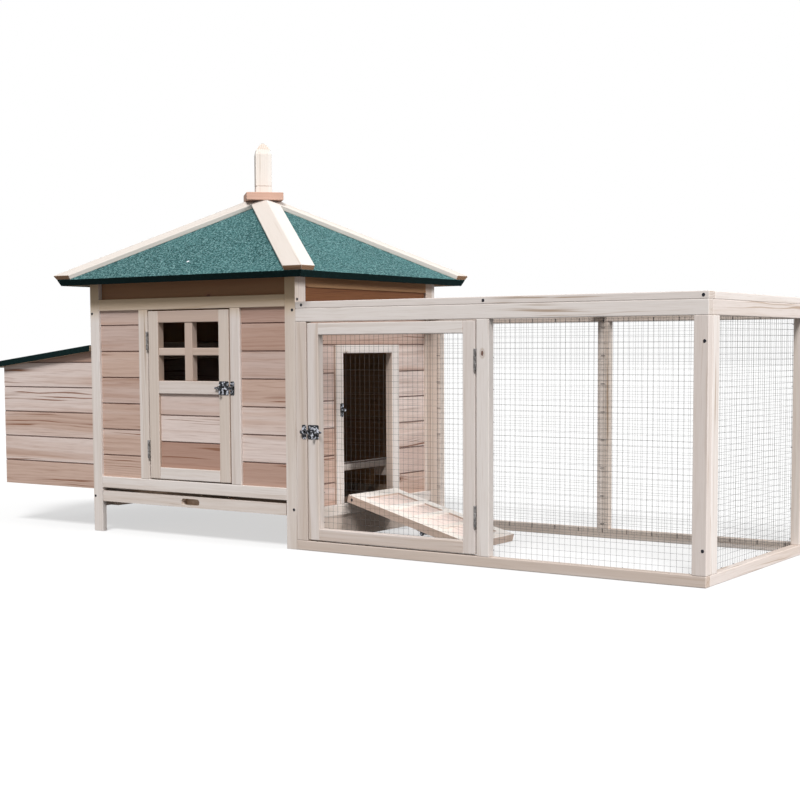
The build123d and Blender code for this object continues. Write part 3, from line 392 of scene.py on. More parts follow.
def mineral_felt(name, deep, green, light, lip_shade_colour):
    """Felt faced with coloured stone granules in clumps, and painted shade, near black with some dark granules,
    on its faces that do not face up, where it laps over an edge.
    """
    granules, clumps, drifts = 620.0, 210.0, 7.0
    felt = Finish(name, sheen=0.06)
    place = felt.place()
    pick, shade, near = felt.cells(place, granules)
    clump = felt.noise(place, clumps, 3.0, 0.7)
    drift = felt.noise(place, drifts, 3.0)
    colour = felt.blend(felt.ramp(clump + (pick - 0.5) * 0.16, 0.38, 0.62), deep, green)
    colour = felt.blend(felt.ramp(clump + (shade - 0.5) * 0.3, 0.56, 0.72), colour, light)
    colour = felt.blend(felt.ramp(drift, 0.35, 0.75) * 0.18, colour, scaled(green, 1.3))
    # Painted shade on the faces that do not face up, near black with some dark granules
    painted_lip_shade = felt.blend(felt.ramp(clump, 0.5, 0.75) * 0.6, lip_shade_colour, deep)
    colour = felt.blend(felt.attribute("lap"), colour, painted_lip_shade)
    return felt.surface(colour, 0.94 - near * 0.1, bump=clump + pick * 0.2, height=0.0012, strength=0.35)


def plated_steel(name, tint, dull, cover):
    """Bright plate with rubbed edges, and dark patches that are partly handling marks and partly painted
    reflection, the bright parts between them standing for painted highlight. Dull is how bright the dark
    patches are, and cover how far they spread."""
    patch_scale, scratches = 140.0, (2600.0, 240.0, 240.0)
    steel = Finish(name)
    place = steel.place()
    # Dark patches: partly handling marks, partly painted reflection
    marks_and_reflections = steel.noise(place, patch_scale, 3.0, 0.6)
    scratch = steel.noise(steel.stretch(place, scratches), 1.0, 2.0)
    colour = steel.blend(steel.ramp(marks_and_reflections, 0.56 - cover, 0.66 - cover), tint, scaled(tint, dull))
    colour = steel.blend(steel.attribute("worn") * 0.25, colour, scaled(tint, 1.6))
    return steel.surface(colour, 0.20 + marks_and_reflections * 0.16 + scratch * 0.10, metallic=1.0,
                         bump=marks_and_reflections + scratch * 0.3, height=0.0002, strength=0.2)


def galvanised(name, tint, spangle, metallic):
    """Zinc coat with spangle and a little dirt."""
    zinc = Finish(name)
    place = zinc.place()
    pick, shade = zinc.cells(place, spangle)[:2]
    dirt = zinc.noise(place, 34.0, 3.0)
    colour = zinc.blend(pick * 0.6, tint, scaled(tint, 0.72))
    colour = zinc.blend(zinc.ramp(dirt, 0.5, 0.8) * 0.35, colour, scaled(tint, 0.5))
    return zinc.surface(colour, 0.38 + shade * 0.18, metallic=metallic)


def black_steel(name, tint):
    """Blackened screw heads, rubbed brighter here and there."""
    steel = Finish(name)
    rub = steel.noise(steel.place(), 420.0, 2.0)
    colour = steel.blend(steel.ramp(rub, 0.5, 0.8) * 0.5, tint, scaled(tint, 2.5))
    return steel.surface(colour, 0.38 + rub * 0.2, metallic=0.7)


def clear_pane(name):
    """Thin clear sheet with a few smears."""
    smoke = (0.55, 0.54, 0.53)
    pane = Finish(name)
    smear = pane.noise(pane.stretch(pane.place(), (14.0, 14.0, 40.0)), 1.0, 3.0)
    pane.shader.inputs["Transmission Weight"].default_value = 1.0
    pane.shader.inputs["IOR"].default_value = 1.05
    return pane.surface(smoke, 0.02 + pane.ramp(smear, 0.5, 0.9) * 0.12)


def recipes(paint):
    """Each finish's maker and what it is made from."""
    frame_wood = paint.frame_pale, paint.frame_warm, paint.frame_streak, 0.05, 0.55, 0.95
    pale, warm, streak = paint.board_pale, paint.board_warm, paint.board_streak
    hip_pale, hip_warm = paint.hip_pale, paint.hip_warm
    board_grain = streak, 0.10, 1.0, 1.35
    pale_grain = paint.frame_streak, 0.04, 0.35, 0.35
    return {
        "frame timber": (timber, *frame_wood),
        # Painted shade: frame timber that turns amber high up, under the eaves
        "sheltered timber": (timber, *frame_wood, None, paint.frame_eave_shade),
        # Partly painted shade: browner timber for reveals and the sides of sticks
        "bar timber": (timber, paint.bar_pale, paint.bar_and_shade_warm, paint.frame_streak, 0.05, 0.6, 0.9),
        "board timber": (timber, pale, warm, *board_grain),
        # Painted light: a lighter copy of the board timber for the right wall inside the run
        "side timber": (timber, scaled(pale, 1.10), scaled(warm, 1.10), *board_grain),
        # Painted light: a lighter copy of the board timber for the ramp's board
        "ramp timber": (timber, scaled(pale, 1.24), scaled(pale, 1.08), streak, 0.04, 0.4, 1.0),
        "hip timber": (timber, hip_pale, hip_warm, paint.frame_streak, 0.04, 0.28, 0.28, paint.end_grain),
        # Painted light: a lighter copy of the hip timber for the finial
        "pale timber": (timber, scaled(hip_pale, 1.07), scaled(hip_warm, 1.07), *pale_grain),
        # Painted light: a lighter copy of the hip timber for the ramp's frame and cleats
        "bleached timber": (timber, scaled(hip_pale, 1.22), scaled(hip_warm, 1.22), *pale_grain),
        # Brown timber, partly painted shade: under the eaves and on the walls' inner faces
        "frieze timber": (timber, paint.frieze_pale, paint.frieze_and_shade_warm, streak, 0.10, 0.8, 0.8),
        # Painted shade: the eave's shadow on the top board above the run
        "eave timber": (timber, paint.eave_pale, paint.dark_board_shade_warm, paint.joint, 0.10, 0.6, 1.2),
        "cap timber": (timber, paint.cap_pale, paint.cap_warm, streak, 0.05, 0.7, 0.7),
        "plywood": (plywood, paint.plywood),
        "mineral felt": (mineral_felt, paint.felt_deep, paint.felt_green, paint.felt_light, paint.felt_lip_shade),
        # Mostly dark patches with bright spots, as painted reflection and highlight
        "bolt steel": (plated_steel, paint.bolt_steel, 0.05, 0.17),
        "hinge steel": (plated_steel, paint.hinge_steel, 0.55, 0.12),
        # Partly painted shade: a dark wire for the shadows it casts on the timber
        "galvanised wire": (galvanised, paint.wire, 900.0, 0.25),
        "galvanised sheet": (galvanised, paint.sheet, 90.0, 0.4),
        # Painted highlight: a near-white, hardly metallic head that stands for the zinc head's glint
        "bright nail": (galvanised, paint.nail, 700.0, 0.1),
        "black screw": (black_steel, paint.screw),
        "clear pane": (clear_pane,),
    }


finishes = {}


def finish(name):
    """The material of that name, made the first time that a piece asks for it."""
    if name not in finishes:
        maker, *values = recipes(bpy.context.scene.coop_colours)[name]
        finishes[name] = maker(name.replace(" ", "_"), *values)
    return finishes[name]


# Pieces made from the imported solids

def shells(source):
    """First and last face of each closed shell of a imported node, whose loose triangles come in that order."""
    found, first, unmatched = [], 0, set()
    for number, face in enumerate(source.faces):
        corners = [tuple(round(v * steps_per_metre) for v in vert.co) for vert in face.verts]
        for start, stop in zip(corners, corners[1:] + corners[:1]):
            if (stop, start) in unmatched:
                unmatched.remove((stop, start))
            else:
                unmatched.add((start, stop))
        if not unmatched:
            found.append((first, number + 1))
            first = number + 1
    if unmatched:
        raise RuntimeError("a packed node has an open shell")
    return found


def solids(node):
    """Each solid of a node as a mesh of its own, merged and with flat faces whole."""
    source = bmesh.new()
    source.from_mesh(nodes[node].data)
    copies = []
    for first, last in shells(source):
        solid = source.copy()
        solid.faces.ensure_lookup_table()
        bmesh.ops.delete(solid, geom=solid.faces[:first] + solid.faces[last:], context="FACES")
        bmesh.ops.remove_doubles(solid, verts=solid.verts, dist=merge_distance)
        bmesh.ops.dissolve_limit(solid, angle_limit=flat_angle, verts=solid.verts, edges=solid.edges)
        solid.normal_update()
        copies.append(solid)
    source.free()
    return copies


def grain_axes(stick):
    """Unit vectors along a stick's length, across its widest face and through it."""
    longest = max(stick.edges, key=lambda edge: edge.calc_length())
    along = (longest.verts[0].co - longest.verts[1].co).normalized()
    if along[max(range(3), key=lambda axis: abs(along[axis]))] < 0:
        along = -along
    face = max(stick.faces, key=lambda side: side.calc_area() * (1.0 - abs(side.normal.dot(along))))
    through = (face.normal - along * face.normal.dot(along)).normalized()
    return along, through.cross(along), through


def bevelled(solid, edges, radius, segments):
    """Rounds some edges of a solid, and gives the new faces."""
    return bmesh.ops.bevel(solid, geom=edges, offset=radius, segments=segments, profile=0.5, affect="EDGES",
                           material=-1, clamp_overlap=True)["faces"]


def rounded(solid, radius):
    """Rounds a solid's sharp edges, and says for each vertex whether it lies on a rounded corner."""
    sharp = [edge for edge in solid.edges if edge.is_manifold and edge.calc_face_angle() > sharp_angle]
    curved = set(bevelled(solid, sharp, radius, edge_segments))
    solid.normal_update()
    return [float(all(face in curved for face in vert.link_faces)) for vert in solid.verts]


def joint_shade(face, through):
    """How much painted shade a face gets as one side of the vee between two boards: most on the side that faces
    down.
    """
    lean = abs(face.normal.dot(through))
    wide = face.calc_area() >= vee_width * max(edge.calc_length() for edge in face.edges)
    if not (least_lean < lean < most_lean and wide):
        return 0.0
    return 1.0 if face.normal.z < 0.0 else 0.85


def mesh_of(name, work):
    """A mesh of this name from finished work, which is let go."""
    mesh = bpy.data.meshes.new(name)
    work.to_mesh(mesh)
    work.free()
    return mesh


def smoothed(mesh, degrees):
    """Shades a mesh smooth, but for edges sharper than this."""
    mesh.shade_smooth()
    mesh.set_sharp_from_angle(angle=radians(degrees))


def finished(name, mesh, body, slot, materials, *replaced):
    """Makes a piece at the origin that rides on a body, with its finishes and the nodes that it replaces."""
    piece = bpy.data.objects.new(name, mesh)
    bpy.context.scene.collection.objects.link(piece)
    for material in materials:
        mesh.materials.append(finish(material))
    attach(piece, body)
    if replaced:
        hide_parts(*replaced)


def dressed(node, radius, materials, choose=None, corner=0.0, smooth=None):
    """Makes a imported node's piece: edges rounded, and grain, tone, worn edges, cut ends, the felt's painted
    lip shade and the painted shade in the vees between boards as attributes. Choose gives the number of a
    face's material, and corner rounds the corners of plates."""
    dice = random.Random(f"{node} {lots[node]}" if node in lots else node)
    plate = bpy.context.scene.coop_sizes.plate_thickness
    whole = bmesh.new()
    grain, tone, worn, end, lap, joint = [], [], [], [], [], []
    for solid in solids(node):
        along, across, through = grain_axes(solid)
        if corner:
            corners = [edge for edge in solid.edges
                       if abs(edge.calc_length() - plate) < plate_tolerance and edge.is_convex]
            bevelled(solid, corners, corner, corner_segments)
        worn.extend(rounded(solid, radius))
        start = Vector([dice.uniform(*span) for span in grain_spans])
        centre = sum((vert.co for vert in solid.verts), Vector()) / len(solid.verts)
        shade = dice.random()
        for vert in solid.verts:
            at = vert.co - centre
            grain.extend((at.dot(along) + start.x, at.dot(across) + start.y, at.dot(through) + start.z))
            tone.append(shade)
        for face in solid.faces:
            face.material_index = choose(centre, face) if choose else 0
            end.append(float(abs(face.normal.dot(along)) > end_share))
            # Faces that do not face up get the felt's painted lip shade
            lap.append(float(face.normal.z < top_share))
            # The vee's faces get painted shade, more on the side that faces down
            joint.append(joint_shade(face, through))
        step = mesh_of("step", solid)
        whole.from_mesh(step)
        bpy.data.meshes.remove(step)
    mesh = mesh_of(node + "_dressed", whole)
    mesh.attributes.new("grain", "FLOAT_VECTOR", "POINT").data.foreach_set("vector", grain)
    for name, domain, values in (("tone", "POINT", tone), ("worn", "POINT", worn), ("end", "FACE", end),
                                 ("lap", "FACE", lap), ("joint", "FACE", joint)):
        mesh.attributes.new(name, "FLOAT", domain).data.foreach_set("value", values)
    if smooth is not None:
        smoothed(mesh, smooth)
    finished(node + "_dressed", mesh, node_bodies[node], node_slots[node], materials, node)


# Welded mesh and fixings

def upright_to(direction):
    """The turn from upright to a direction."""
    return Vector((0, 0, 1)).rotation_difference(direction).to_matrix().to_4x4()


def rod(work, start, stop, diameter):
    """A straight six-sided wire between two points."""
    run = stop - start
    bmesh.ops.create_cone(work, cap_ends=True, segments=6, radius1=diameter / 2, radius2=diameter / 2,
                          depth=run.length, matrix=Matrix.Translation((start + stop) / 2) @ upright_to(run))


def sheet_layers(node):
    """A mesh sheet's corners, thin axis, the depths of its two wire layers and the way in from its frame."""
    low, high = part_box(node)
    thin = min(range(3), key=lambda axis: high[axis] - low[axis])
    quarter = (high[thin] - low[thin]) / 4
    frame_low, frame_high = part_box(node.replace("_mesh", "_frame"))
    inward = 1.0 if (low + high)[thin] > (frame_low + frame_high)[thin] else -1.0
    middle = (low[thin] + high[thin]) / 2
    return low, high, thin, (middle - inward * quarter, middle + inward * quarter), inward


def wire_sheet(node):
    """Makes a welded mesh of round wires: one layer against the frame and one over it, each with a wire on
    both edges."""
    sizes = bpy.context.scene.coop_sizes
    low, high, thin, layers = sheet_layers(node)[:4]
    edge = (high[thin] - low[thin]) / 4
    first, second = [axis for axis in range(3) if axis != thin]
    sheet = bmesh.new()
    for run, step, depth in ((second, first, layers[0]), (first, second, layers[1])):
        room = high[step] - low[step] - 2 * edge
        count = int(room // sizes.mesh_pitch)
        middle = (low[step] + high[step]) / 2
        places = [middle + (number - (count - 1) / 2) * sizes.mesh_pitch for number in range(count)]
        for place in (low[step] + edge, *places, high[step] - edge):
            start, stop = low.copy(), high.copy()
            for point in (start, stop):
                point[thin] = depth
                point[step] = place
            rod(sheet, start, stop, sizes.wire_thickness)
    mesh = mesh_of(node + "_dressed", sheet)
    smoothed(mesh, 70.0)
    finished(node + "_dressed", mesh, node_bodies[node], node_slots[node], ("galvanised wire",), node)


def screw_head(work, place, normal, diameter, turn):
    """A low domed head with a cross recess, seated on a surface."""
    radius = diameter / 2
    rise = radius * 0.36
    seat = Matrix.Translation(place) @ upright_to(normal) @ Matrix.Rotation(turn, 4, "Z")
    made = bmesh.ops.create_cone(work, cap_ends=True, segments=12, radius1=radius, radius2=radius * 0.72,
                                 depth=rise, matrix=seat @ Matrix.Translation((0, 0, rise * 0.4)))
    crown = max({face for vert in made["verts"] for face in vert.link_faces},
                key=lambda face: face.calc_center_median().dot(normal))
    bmesh.ops.inset_individual(work, faces=[crown], thickness=radius * 0.12, depth=radius * 0.03)
    bmesh.ops.inset_individual(work, faces=[crown], thickness=radius * 0.14, depth=0.0)
    # Two corners in three move in, which leaves a cross of four arms
    middle = crown.calc_center_median()
    for number, vert in enumerate(crown.verts):
        if number % 3:
            vert.co = middle + (vert.co - middle) * 0.42
    pit = bmesh.ops.extrude_discrete_faces(work, faces=[crown])["faces"]
    bmesh.ops.translate(work, verts=pit[0].verts, vec=-normal * radius * 0.22)


def nail_head(work, place, normal, diameter):
    """A flat clout nail's head with a rounded rim."""
    radius = diameter / 2
    seat = Matrix.Translation(place + normal * radius * 0.12) @ upright_to(normal)
    made = bmesh.ops.create_cone(work, cap_ends=True, segments=16, radius1=radius, radius2=radius,
                                 depth=radius * 0.3, matrix=seat)
    rim = {edge for vert in made["verts"] for edge in vert.link_edges
           if all((end.co - place).dot(normal) > radius * 0.2 for end in edge.verts)}
    bevelled(work, list(rim), radius * 0.12, edge_segments)


def plate_screws(work, node):
    """Screws at the corners of each bolt plate, or above and below a keeper's loop."""
    sizes = bpy.context.scene.coop_sizes
    dice = random.Random(node)
    for plate in solids(node):
        back = max(plate.faces, key=lambda face: face.calc_area())
        normal = -back.normal
        corners = [vert.co for vert in back.verts]
        sides = sorted((corners[1] - corners[0], corners[-1] - corners[0]), key=lambda side: side.length)
        short, wide = (side.normalized() * (side.length / 2 - sizes.plate_screw_head) for side in sides)
        narrow = sides[0].length < sides[1].length / 2
        middle = back.calc_center_median() + normal * sizes.plate_thickness
        for up in (1, -1):
            for beside in (0,) if narrow else (1, -1):
                screw_head(work, middle + wide * up + short * beside, normal, sizes.plate_screw_head,
                           dice.uniform(0, screw_turn))
        plate.free()


def staples(work, node, *stiles):
    """Staples round a mesh sheet and along the stiles that it crosses, given as axis and place."""
    sizes = bpy.context.scene.coop_sizes
    low, high, thin, layers, inward = sheet_layers(node)
    first, second = [axis for axis in range(3) if axis != thin]
    lines = [(step, run, place) for step, run in ((first, second), (second, first))
             for place in (low[step] + staple_inset, high[step] - staple_inset)]
    lines += [(step, first if step == second else second, place) for step, place in stiles]
    over = layers[1] + inward * (sizes.wire_thickness + sizes.staple_wire) / 2
    under = layers[0] - inward * sizes.wire_thickness / 2
    for step, run, place in lines:
        room = high[run] - low[run] - 2 * sizes.staple_spacing / 3
        count = max(2, round(room / sizes.staple_spacing) + 1)
        for number in range(count):
            crown = Vector()
            crown[thin] = over
            crown[step] = place
            crown[run] = low[run] + sizes.staple_spacing / 3 + room * number / (count - 1)
            tips = []
            for side in (-0.5, 0.5):
                tip = crown.copy()
                tip[step] += side * sizes.staple_width
                foot = tip.copy()
                foot[thin] = under
                rod(work, foot, tip, sizes.staple_wire)
                tips.append(tip)
            rod(work, *tips, sizes.staple_wire)


def fixings(name, work, body, material):
    """Makes many small fixings of one body into one piece."""
    mesh = mesh_of(name, work)
    smoothed(mesh, 30.0)
    finished(name, mesh, body, "steel_hardware", (material,))


# Operators

def dress(names, radius, *materials, **choices):
    """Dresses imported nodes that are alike."""
    for name in names.split():
        dressed(name, radius, materials, **choices)


class PieceOperator:
    """Shared by the operators that make pieces."""
    bl_options = {"REGISTER", "UNDO"}


class COOP_OT_frames(PieceOperator, bpy.types.Operator):
    """Posts, rails and stiles of the house and the run"""
    bl_idname = "coop.frames"
    bl_label = "Posts and frames"

    def execute(self, context):
        edge = context.scene.coop_sizes.frame_round
        dress("house_left_frame run_front_frame run_end_frame run_back_frame run_top_frame", edge,
              "frame timber")
        # The reveal of the pop-hole gets the browner bar timber as painted shade
        dress("pop_hole_frame", edge, "frame timber", "bar timber",
              choose=lambda centre, face: int(abs(face.normal.x) < facing))
        # The posts get painted amber eave shade high up on their front and back faces only
        dress("house_post_front_left house_post_front_right house_post_back_left house_post_back_right", edge,
              "sheltered timber", "frame timber",
              choose=lambda centre, face: int(abs(face.normal.y) < facing))
        # The frieze above the front and back rails and the plate above the run are brown timber, darkened
        # further as painted eave shade, and the front and back frames below them get painted amber eave shade
        for node, lower in (("house_front_frame", "sheltered timber"), ("house_right_frame", "frame timber"),
                            ("house_back_frame", "sheltered timber")):
            dress(node, edge, lower, "frieze timber",
                  choose=lambda centre, face: int(centre.z > frieze_height))
        return {"FINISHED"}


class COOP_OT_boards(PieceOperator, bpy.types.Operator):
    """Tongued boards of the house and the nest box"""
    bl_idname = "coop.boards"
    bl_label = "Wall boards"

    def execute(self, context):
        edge = context.scene.coop_sizes.board_round
        dress("nest_side_boards nest_outer_boards nest_floor nest_divider", edge, "board timber")
        # The walls' inner faces get the brown frieze timber as painted shade, for the dark inside of the house
        for node, inward in (("house_front_boards", (0, 1, 0)), ("house_back_boards", (0, -1, 0)),
                             ("house_left_boards", (1, 0, 0))):
            dress(node, edge, "board timber", "frieze timber",
                  choose=lambda centre, face: int(face.normal.dot(Vector(inward)) > facing))
        # The right wall's boards are a lighter copy of the board timber as painted light, the top board above
        # the run is painted dark as eave shade, and the inner faces get the brown frieze timber as painted
        # shade
        dress("house_right_boards", edge, "side timber", "eave timber", "frieze timber",
              choose=lambda centre, face: 2 if face.normal.x < -facing else int(centre.z > top_board_height))
        return {"FINISHED"}


class COOP_OT_roof(PieceOperator, bpy.types.Operator):
    """Roof panels, felt, hip boards, cap and finial"""
    bl_idname = "coop.roof"
    bl_label = "Hipped roof"

    def execute(self, context):
        sizes = context.scene.coop_sizes
        dress("roof_panel_front roof_panel_back roof_panel_left roof_panel_right", sizes.board_round,
              "plywood")
        dress("roof_felt", sizes.felt_round, "mineral felt")
        dress("hip_boards", sizes.frame_round, "hip timber")
        # The finial's timber is a lighter copy of the hip timber, as painted light
        dress("finial", sizes.frame_round, "pale timber")
        dress("roof_cap", sizes.frame_round, "cap timber")
        return {"FINISHED"}


class COOP_OT_nest_lid(PieceOperator, bpy.types.Operator):
    """Felted lid of the nest box"""
    bl_idname = "coop.nest_lid"
    bl_label = "Nest lid"

    def execute(self, context):
        sizes = context.scene.coop_sizes
        dress("nest_lid_panel", sizes.board_round, "plywood")
        dress("nest_lid_felt", sizes.felt_round, "mineral felt")
        return {"FINISHED"}


class COOP_OT_house_door(PieceOperator, bpy.types.Operator):
    """House door with its window"""
    bl_idname = "coop.house_door"
    bl_label = "House door"

    def execute(self, context):
        sizes = context.scene.coop_sizes
        dress("house_door_frame", sizes.frame_round, "frame timber", "bar timber", choose=self.stick_finish)
        dress("house_door_boards", sizes.board_round, "board timber")
        dress("window_pane", sizes.steel_round, "clear pane")
        return {"FINISHED"}

    @staticmethod
    def stick_finish(centre, face):
        """Browner timber, partly painted shade, for the top rail and the window's bars, and painted shade on
        the sides and reveals of all sticks.
        """
        low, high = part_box("window_pane")
        return int(abs(face.normal.y) < facing or low.x < centre.x < high.x and low.z < centre.z)


class COOP_OT_run_mesh(PieceOperator, bpy.types.Operator):
    """Welded mesh of the run and its door"""
    bl_idname = "coop.run_mesh"
    bl_label = "Welded mesh"

    def execute(self, context):
        for side in ("front", "end", "back", "top", "door"):
            wire_sheet(f"run_{side}_mesh")
        return {"FINISHED"}


class COOP_OT_run_door(PieceOperator, bpy.types.Operator):
    """Run door's frame"""
    bl_idname = "coop.run_door"
    bl_label = "Run door"

    def execute(self, context):
        dress("run_door_frame", context.scene.coop_sizes.frame_round, "frame timber")
        return {"FINISHED"}


class COOP_OT_ramp(PieceOperator, bpy.types.Operator):
    """Ramp that closes the pop-hole"""
    bl_idname = "coop.ramp"
    bl_label = "Ramp"

    def execute(self, context):
        edge = context.scene.coop_sizes.board_round
        # Painted light: the frame's top and bottom faces and the cleats are a lighter copy of the hip timber,
        # and the board a lighter copy of the board timber. Painted shade: the frame's sides and ends get the
        # browner bar timber
        dress("ramp_frame", edge, "bleached timber", "bar timber",
              choose=lambda centre, face: int(abs(face.normal.z) < facing))
        dress("ramp_cleats", edge, "bleached timber")
        dress("ramp_board", edge, "ramp timber")
        return {"FINISHED"}


class COOP_OT_tray(PieceOperator, bpy.types.Operator):
    """Dropping tray, its runners and the perch"""
    bl_idname = "coop.tray"
    bl_label = "Tray and perch"

    def execute(self, context):
        sizes = context.scene.coop_sizes
        dress("tray_front", sizes.board_round, "frame timber")
        dress("tray_runners perch perch_blocks", sizes.frame_round, "frame timber")
        dress("tray_pan", sizes.steel_round, "galvanised sheet")
        return {"FINISHED"}


class COOP_OT_hardware(PieceOperator, bpy.types.Operator):
    """Butt hinges and barrel bolts"""
    bl_idname = "coop.hardware"
    bl_label = "Hinges and bolts"

    def execute(self, context):
        sizes = context.scene.coop_sizes
        edge, bend = sizes.steel_round, 35.0
        dress("hinge_fixed_leaves house_door_hinges run_door_hinges ramp_hinges nest_lid_hinges", edge,
              "hinge steel", smooth=bend)
        dress("bolt_keepers house_door_bolt_plate run_door_bolt_plate ramp_bolt_plate", edge, "bolt steel",
              corner=sizes.plate_corner, smooth=bend)
        dress("house_door_bolt run_door_bolt ramp_bolt", edge, "bolt steel", smooth=bend)
        return {"FINISHED"}


class COOP_OT_fixings(PieceOperator, bpy.types.Operator):
    """Screws of the frames and bolt plates, staples of the mesh and the felt nail"""
    bl_idname = "coop.fixings"
    bl_label = "Screws and staples"

    def execute(self, context):
        sizes = context.scene.coop_sizes
        self.frame_screws(sizes)
        self.ramp_screw(sizes)
        self.felt_nail(sizes)
        for body, plates in (("coop", "bolt_keepers"), ("house_door", "house_door_bolt_plate"),
                             ("run_door", "run_door_bolt_plate"), ("ramp", "ramp_bolt_plate")):
            work = bmesh.new()
            plate_screws(work, plates)
            fixings(body + "_plate_screws", work, body, "bolt steel")
        stile = (0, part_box("run_door_frame")[1].x + stile_middle)
        work = bmesh.new()
        staples(work, "run_front_mesh")
        staples(work, "run_end_mesh")
        staples(work, "run_back_mesh", stile)
        staples(work, "run_top_mesh", stile)
        fixings("run_staples", work, "coop", "black screw")
        work = bmesh.new()
        staples(work, "run_door_mesh")
        fixings("run_door_staples", work, "run_door", "black screw")
        return {"FINISHED"}

    @staticmethod
    def frame_screws(sizes):
        """Screws through the posts, the run's top frame and its corner stiles, front and back."""
        dice = random.Random("frame screws")
        work = bmesh.new()
        post_low, post_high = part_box("house_post_front_right")
        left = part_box("house_post_front_left")[0].x
        top_low, top_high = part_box("run_top_frame")
        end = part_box("run_end_frame")[1].x
        top = (top_low.z + top_high.z) / 2
        right_post = (post_high.x - 0.0087, 0.540), (post_high.x - 0.0088, 0.090)
        left_post = (left + 0.0058, 0.542), (left + 0.0055, 0.088)
        top_frame = (0.0372, top), (0.5105, top), (end - 0.0112, top)
        corner_stile = (end - 0.0080, 0.4648), (end - 0.0078, 0.0700)
        for x, z in (*right_post, *left_post, *top_frame, *corner_stile):
            for y, normal in ((top_low.y, Vector((0, -1, 0))), (top_high.y, Vector((0, 1, 0)))):
                screw_head(work, Vector((x, y, z)), normal, sizes.screw_head, dice.uniform(0, screw_turn))
        post_side = Vector((post_high.x, post_low.y + 0.0075, top_high.z + 0.006))
        screw_head(work, post_side, Vector((1, 0, 0)), sizes.screw_head, dice.uniform(0, screw_turn))
        fixings("frame_screws", work, "coop", "black screw")

    @staticmethod
    def ramp_screw(sizes):
        """The screw in the front side of the ramp's frame."""
        place = Vector((0.0393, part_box("ramp_frame")[0].y, 0.0975))
        work = bmesh.new()
        screw_head(work, place, Vector((0, -1, 0)), sizes.screw_head, turn=0.4)
        fixings("ramp_screw", work, "ramp", "black screw")

    @staticmethod
    def felt_nail(sizes):
        """The nail in the front slope of the roof."""
        front_share = 0.3
        felts = solids("roof_felt")
        slopes = [face for felt in felts for face in felt.faces
                  if face.normal.y < -front_share and face.normal.z > top_share]
        slope = max(slopes, key=lambda face: face.calc_area())
        middle, normal = slope.calc_center_median(), slope.normal.copy()
        for felt in felts:
            felt.free()
        nail = Vector((-0.304, -0.2805, middle.z))
        nail.z -= (nail - middle).dot(normal) / normal.z
        work = bmesh.new()
        nail_head(work, nail, normal, sizes.nail_head)
        fixings("felt_nail", work, "coop", "bright nail")


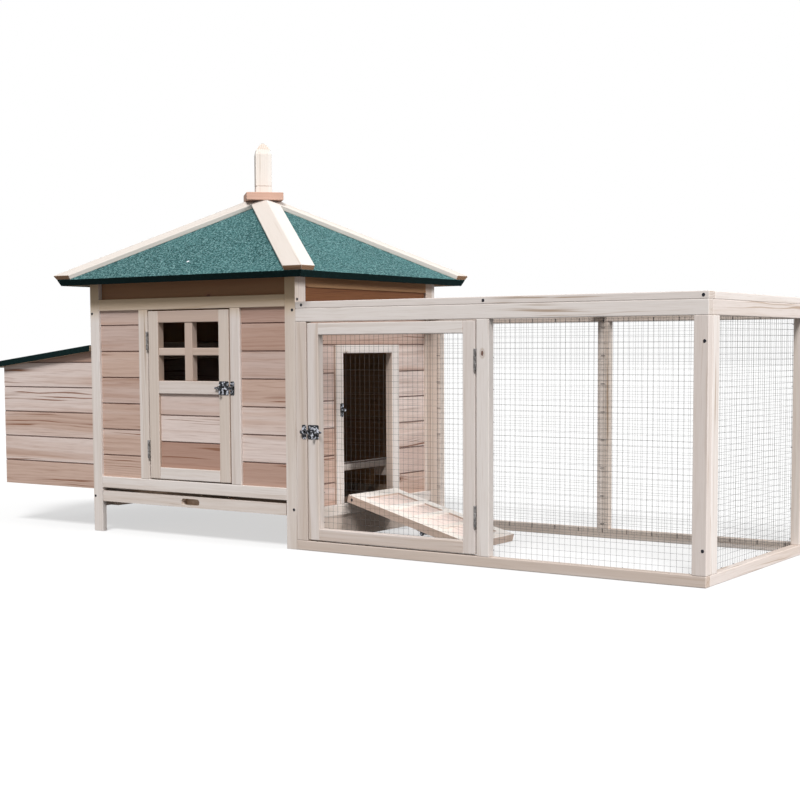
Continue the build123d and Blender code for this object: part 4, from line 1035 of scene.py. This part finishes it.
class COOP_OT_stage(bpy.types.Operator):
    """Pale floor, soft light and the camera"""
    bl_idname = "coop.stage"
    bl_label = "Stage"

    def execute(self, context):
        scene = context.scene
        scene.view_settings.view_transform = "Standard"
        self.floor(scene)
        self.sky(scene, strength=0.35)
        self.sun(scene, "side_lamp", towards=(0.955, 0.08, 0.25), strength=2.0, width=16.0)
        self.sun(scene, "front_lamp", towards=(0.30, -0.58, 0.757), strength=3.14, width=18.0)
        self.camera(scene)
        return {"FINISHED"}

    @staticmethod
    def floor(scene):
        """White where it is seen, but for the coop's shadow, and dim where it would light the coop."""
        half_size, gap = 30.0, 0.0005
        white_share, dimness = 0.6, 0.16
        ground = bmesh.new()
        bmesh.ops.create_grid(ground, x_segments=1, y_segments=1, size=half_size,
                              matrix=Matrix.Translation((0, 0, -gap)))
        mesh = mesh_of("floor", ground)
        floor = bpy.data.objects.new("floor", mesh)
        scene.collection.objects.link(floor)
        chalk = Finish("pale_floor")
        speck = chalk.noise(chalk.place(), 60.0, 3.0)
        chalk.surface(chalk.blend(speck * 0.04, (0.93, 0.93, 0.93), (0.85, 0.85, 0.85)), 0.9)
        lit = Value(chalk, chalk.shader.outputs[0])
        white = chalk.add("ShaderNodeEmission", {}, {"Color": (1.0, 1.0, 1.0, 1.0), "Strength": 1.0})
        pale = chalk.add("ShaderNodeMixShader", {}, {0: white_share, 1: lit, 2: white})
        dim = chalk.add("ShaderNodeBsdfDiffuse", {}, {"Color": (dimness, dimness, dimness, 1.0)})
        chalk.end("Material Output", dim, pale)
        mesh.materials.append(chalk.material)

    @staticmethod
    def sky(scene, strength):
        """An even light from all round, and a white backdrop where it is seen."""
        scene.world = bpy.data.worlds.new("studio")
        scene.world.use_nodes = True
        graph = Graph(scene.world.node_tree)
        light = graph.tree.nodes["Background"]
        light.inputs["Color"].default_value = (1.0, 1.0, 1.0, 1.0)
        light.inputs["Strength"].default_value = strength
        white = graph.add("ShaderNodeBackground", {}, {"Color": (1.0, 1.0, 1.0, 1.0), "Strength": 1.0})
        graph.end("World Output", Value(graph, light.outputs[0]), white)

    @staticmethod
    def sun(scene, name, towards, strength, width):
        """A lamp in this direction, its width in degrees."""
        distance = 4.0
        light = bpy.data.lights.new(name, "SUN")
        light.energy = strength
        light.angle = radians(width)
        lamp = bpy.data.objects.new(name, light)
        lamp.location = Vector(towards) * distance
        lamp.rotation_euler = (-Vector(towards)).to_track_quat("-Z", "Y").to_euler()
        scene.collection.objects.link(lamp)

    @staticmethod
    def camera(scene):
        """Looks at the coop from its front right, a little above the ground."""
        place = (2.057, -2.838, 0.457)
        yaw, pitch, roll = 0.602, 0.0755, -0.0049
        lens = bpy.data.cameras.new("camera")
        lens.sensor_width = 36.0
        lens.lens = 65.26
        lens.shift_y = 0.0704
        lens.clip_end = 100.0
        camera = bpy.data.objects.new("camera", lens)
        stand = Matrix.Translation(place) @ Matrix.Rotation(yaw, 4, "Z")
        tilt = Matrix.Rotation(pi / 2 - pitch, 4, "X") @ Matrix.Rotation(roll, 4, "Z")
        camera.matrix_world = stand @ tilt
        scene.collection.objects.link(camera)
        scene.camera = camera


class COOP_PT_panel(bpy.types.Panel):
    """Coop pieces and their sizes"""
    bl_idname = "COOP_PT_panel"
    bl_label = "Chicken coop"
    bl_space_type = "VIEW_3D"
    bl_region_type = "UI"
    bl_category = "Coop"

    def draw(self, context):
        for operator in operators:
            self.layout.operator(operator.bl_idname)
        for group in (context.scene.coop_sizes, context.scene.coop_colours):
            box = self.layout.box()
            for name in group.__annotations__:
                box.prop(group, name)


operators = (COOP_OT_frames, COOP_OT_boards, COOP_OT_roof, COOP_OT_nest_lid, COOP_OT_house_door,
             COOP_OT_run_mesh, COOP_OT_run_door, COOP_OT_ramp, COOP_OT_tray, COOP_OT_hardware,
             COOP_OT_fixings, COOP_OT_stage)
classes = (CoopSizes, CoopColours, *operators, COOP_PT_panel)


def register():
    for kind in classes:
        bpy.utils.register_class(kind)
    bpy.types.Scene.coop_sizes = PointerProperty(type=CoopSizes)
    bpy.types.Scene.coop_colours = PointerProperty(type=CoopColours)


def unregister():
    del bpy.types.Scene.coop_colours
    del bpy.types.Scene.coop_sizes
    for kind in reversed(classes):
        bpy.utils.unregister_class(kind)


def main():
    register()
    bpy.ops.coop.frames()
    bpy.ops.coop.boards()
    bpy.ops.coop.roof()
    bpy.ops.coop.nest_lid()
    bpy.ops.coop.house_door()
    bpy.ops.coop.run_mesh()
    bpy.ops.coop.run_door()
    bpy.ops.coop.ramp()
    bpy.ops.coop.tray()
    bpy.ops.coop.hardware()
    bpy.ops.coop.fixings()
    bpy.ops.coop.stage()


if __name__ == "__main__":
    main()
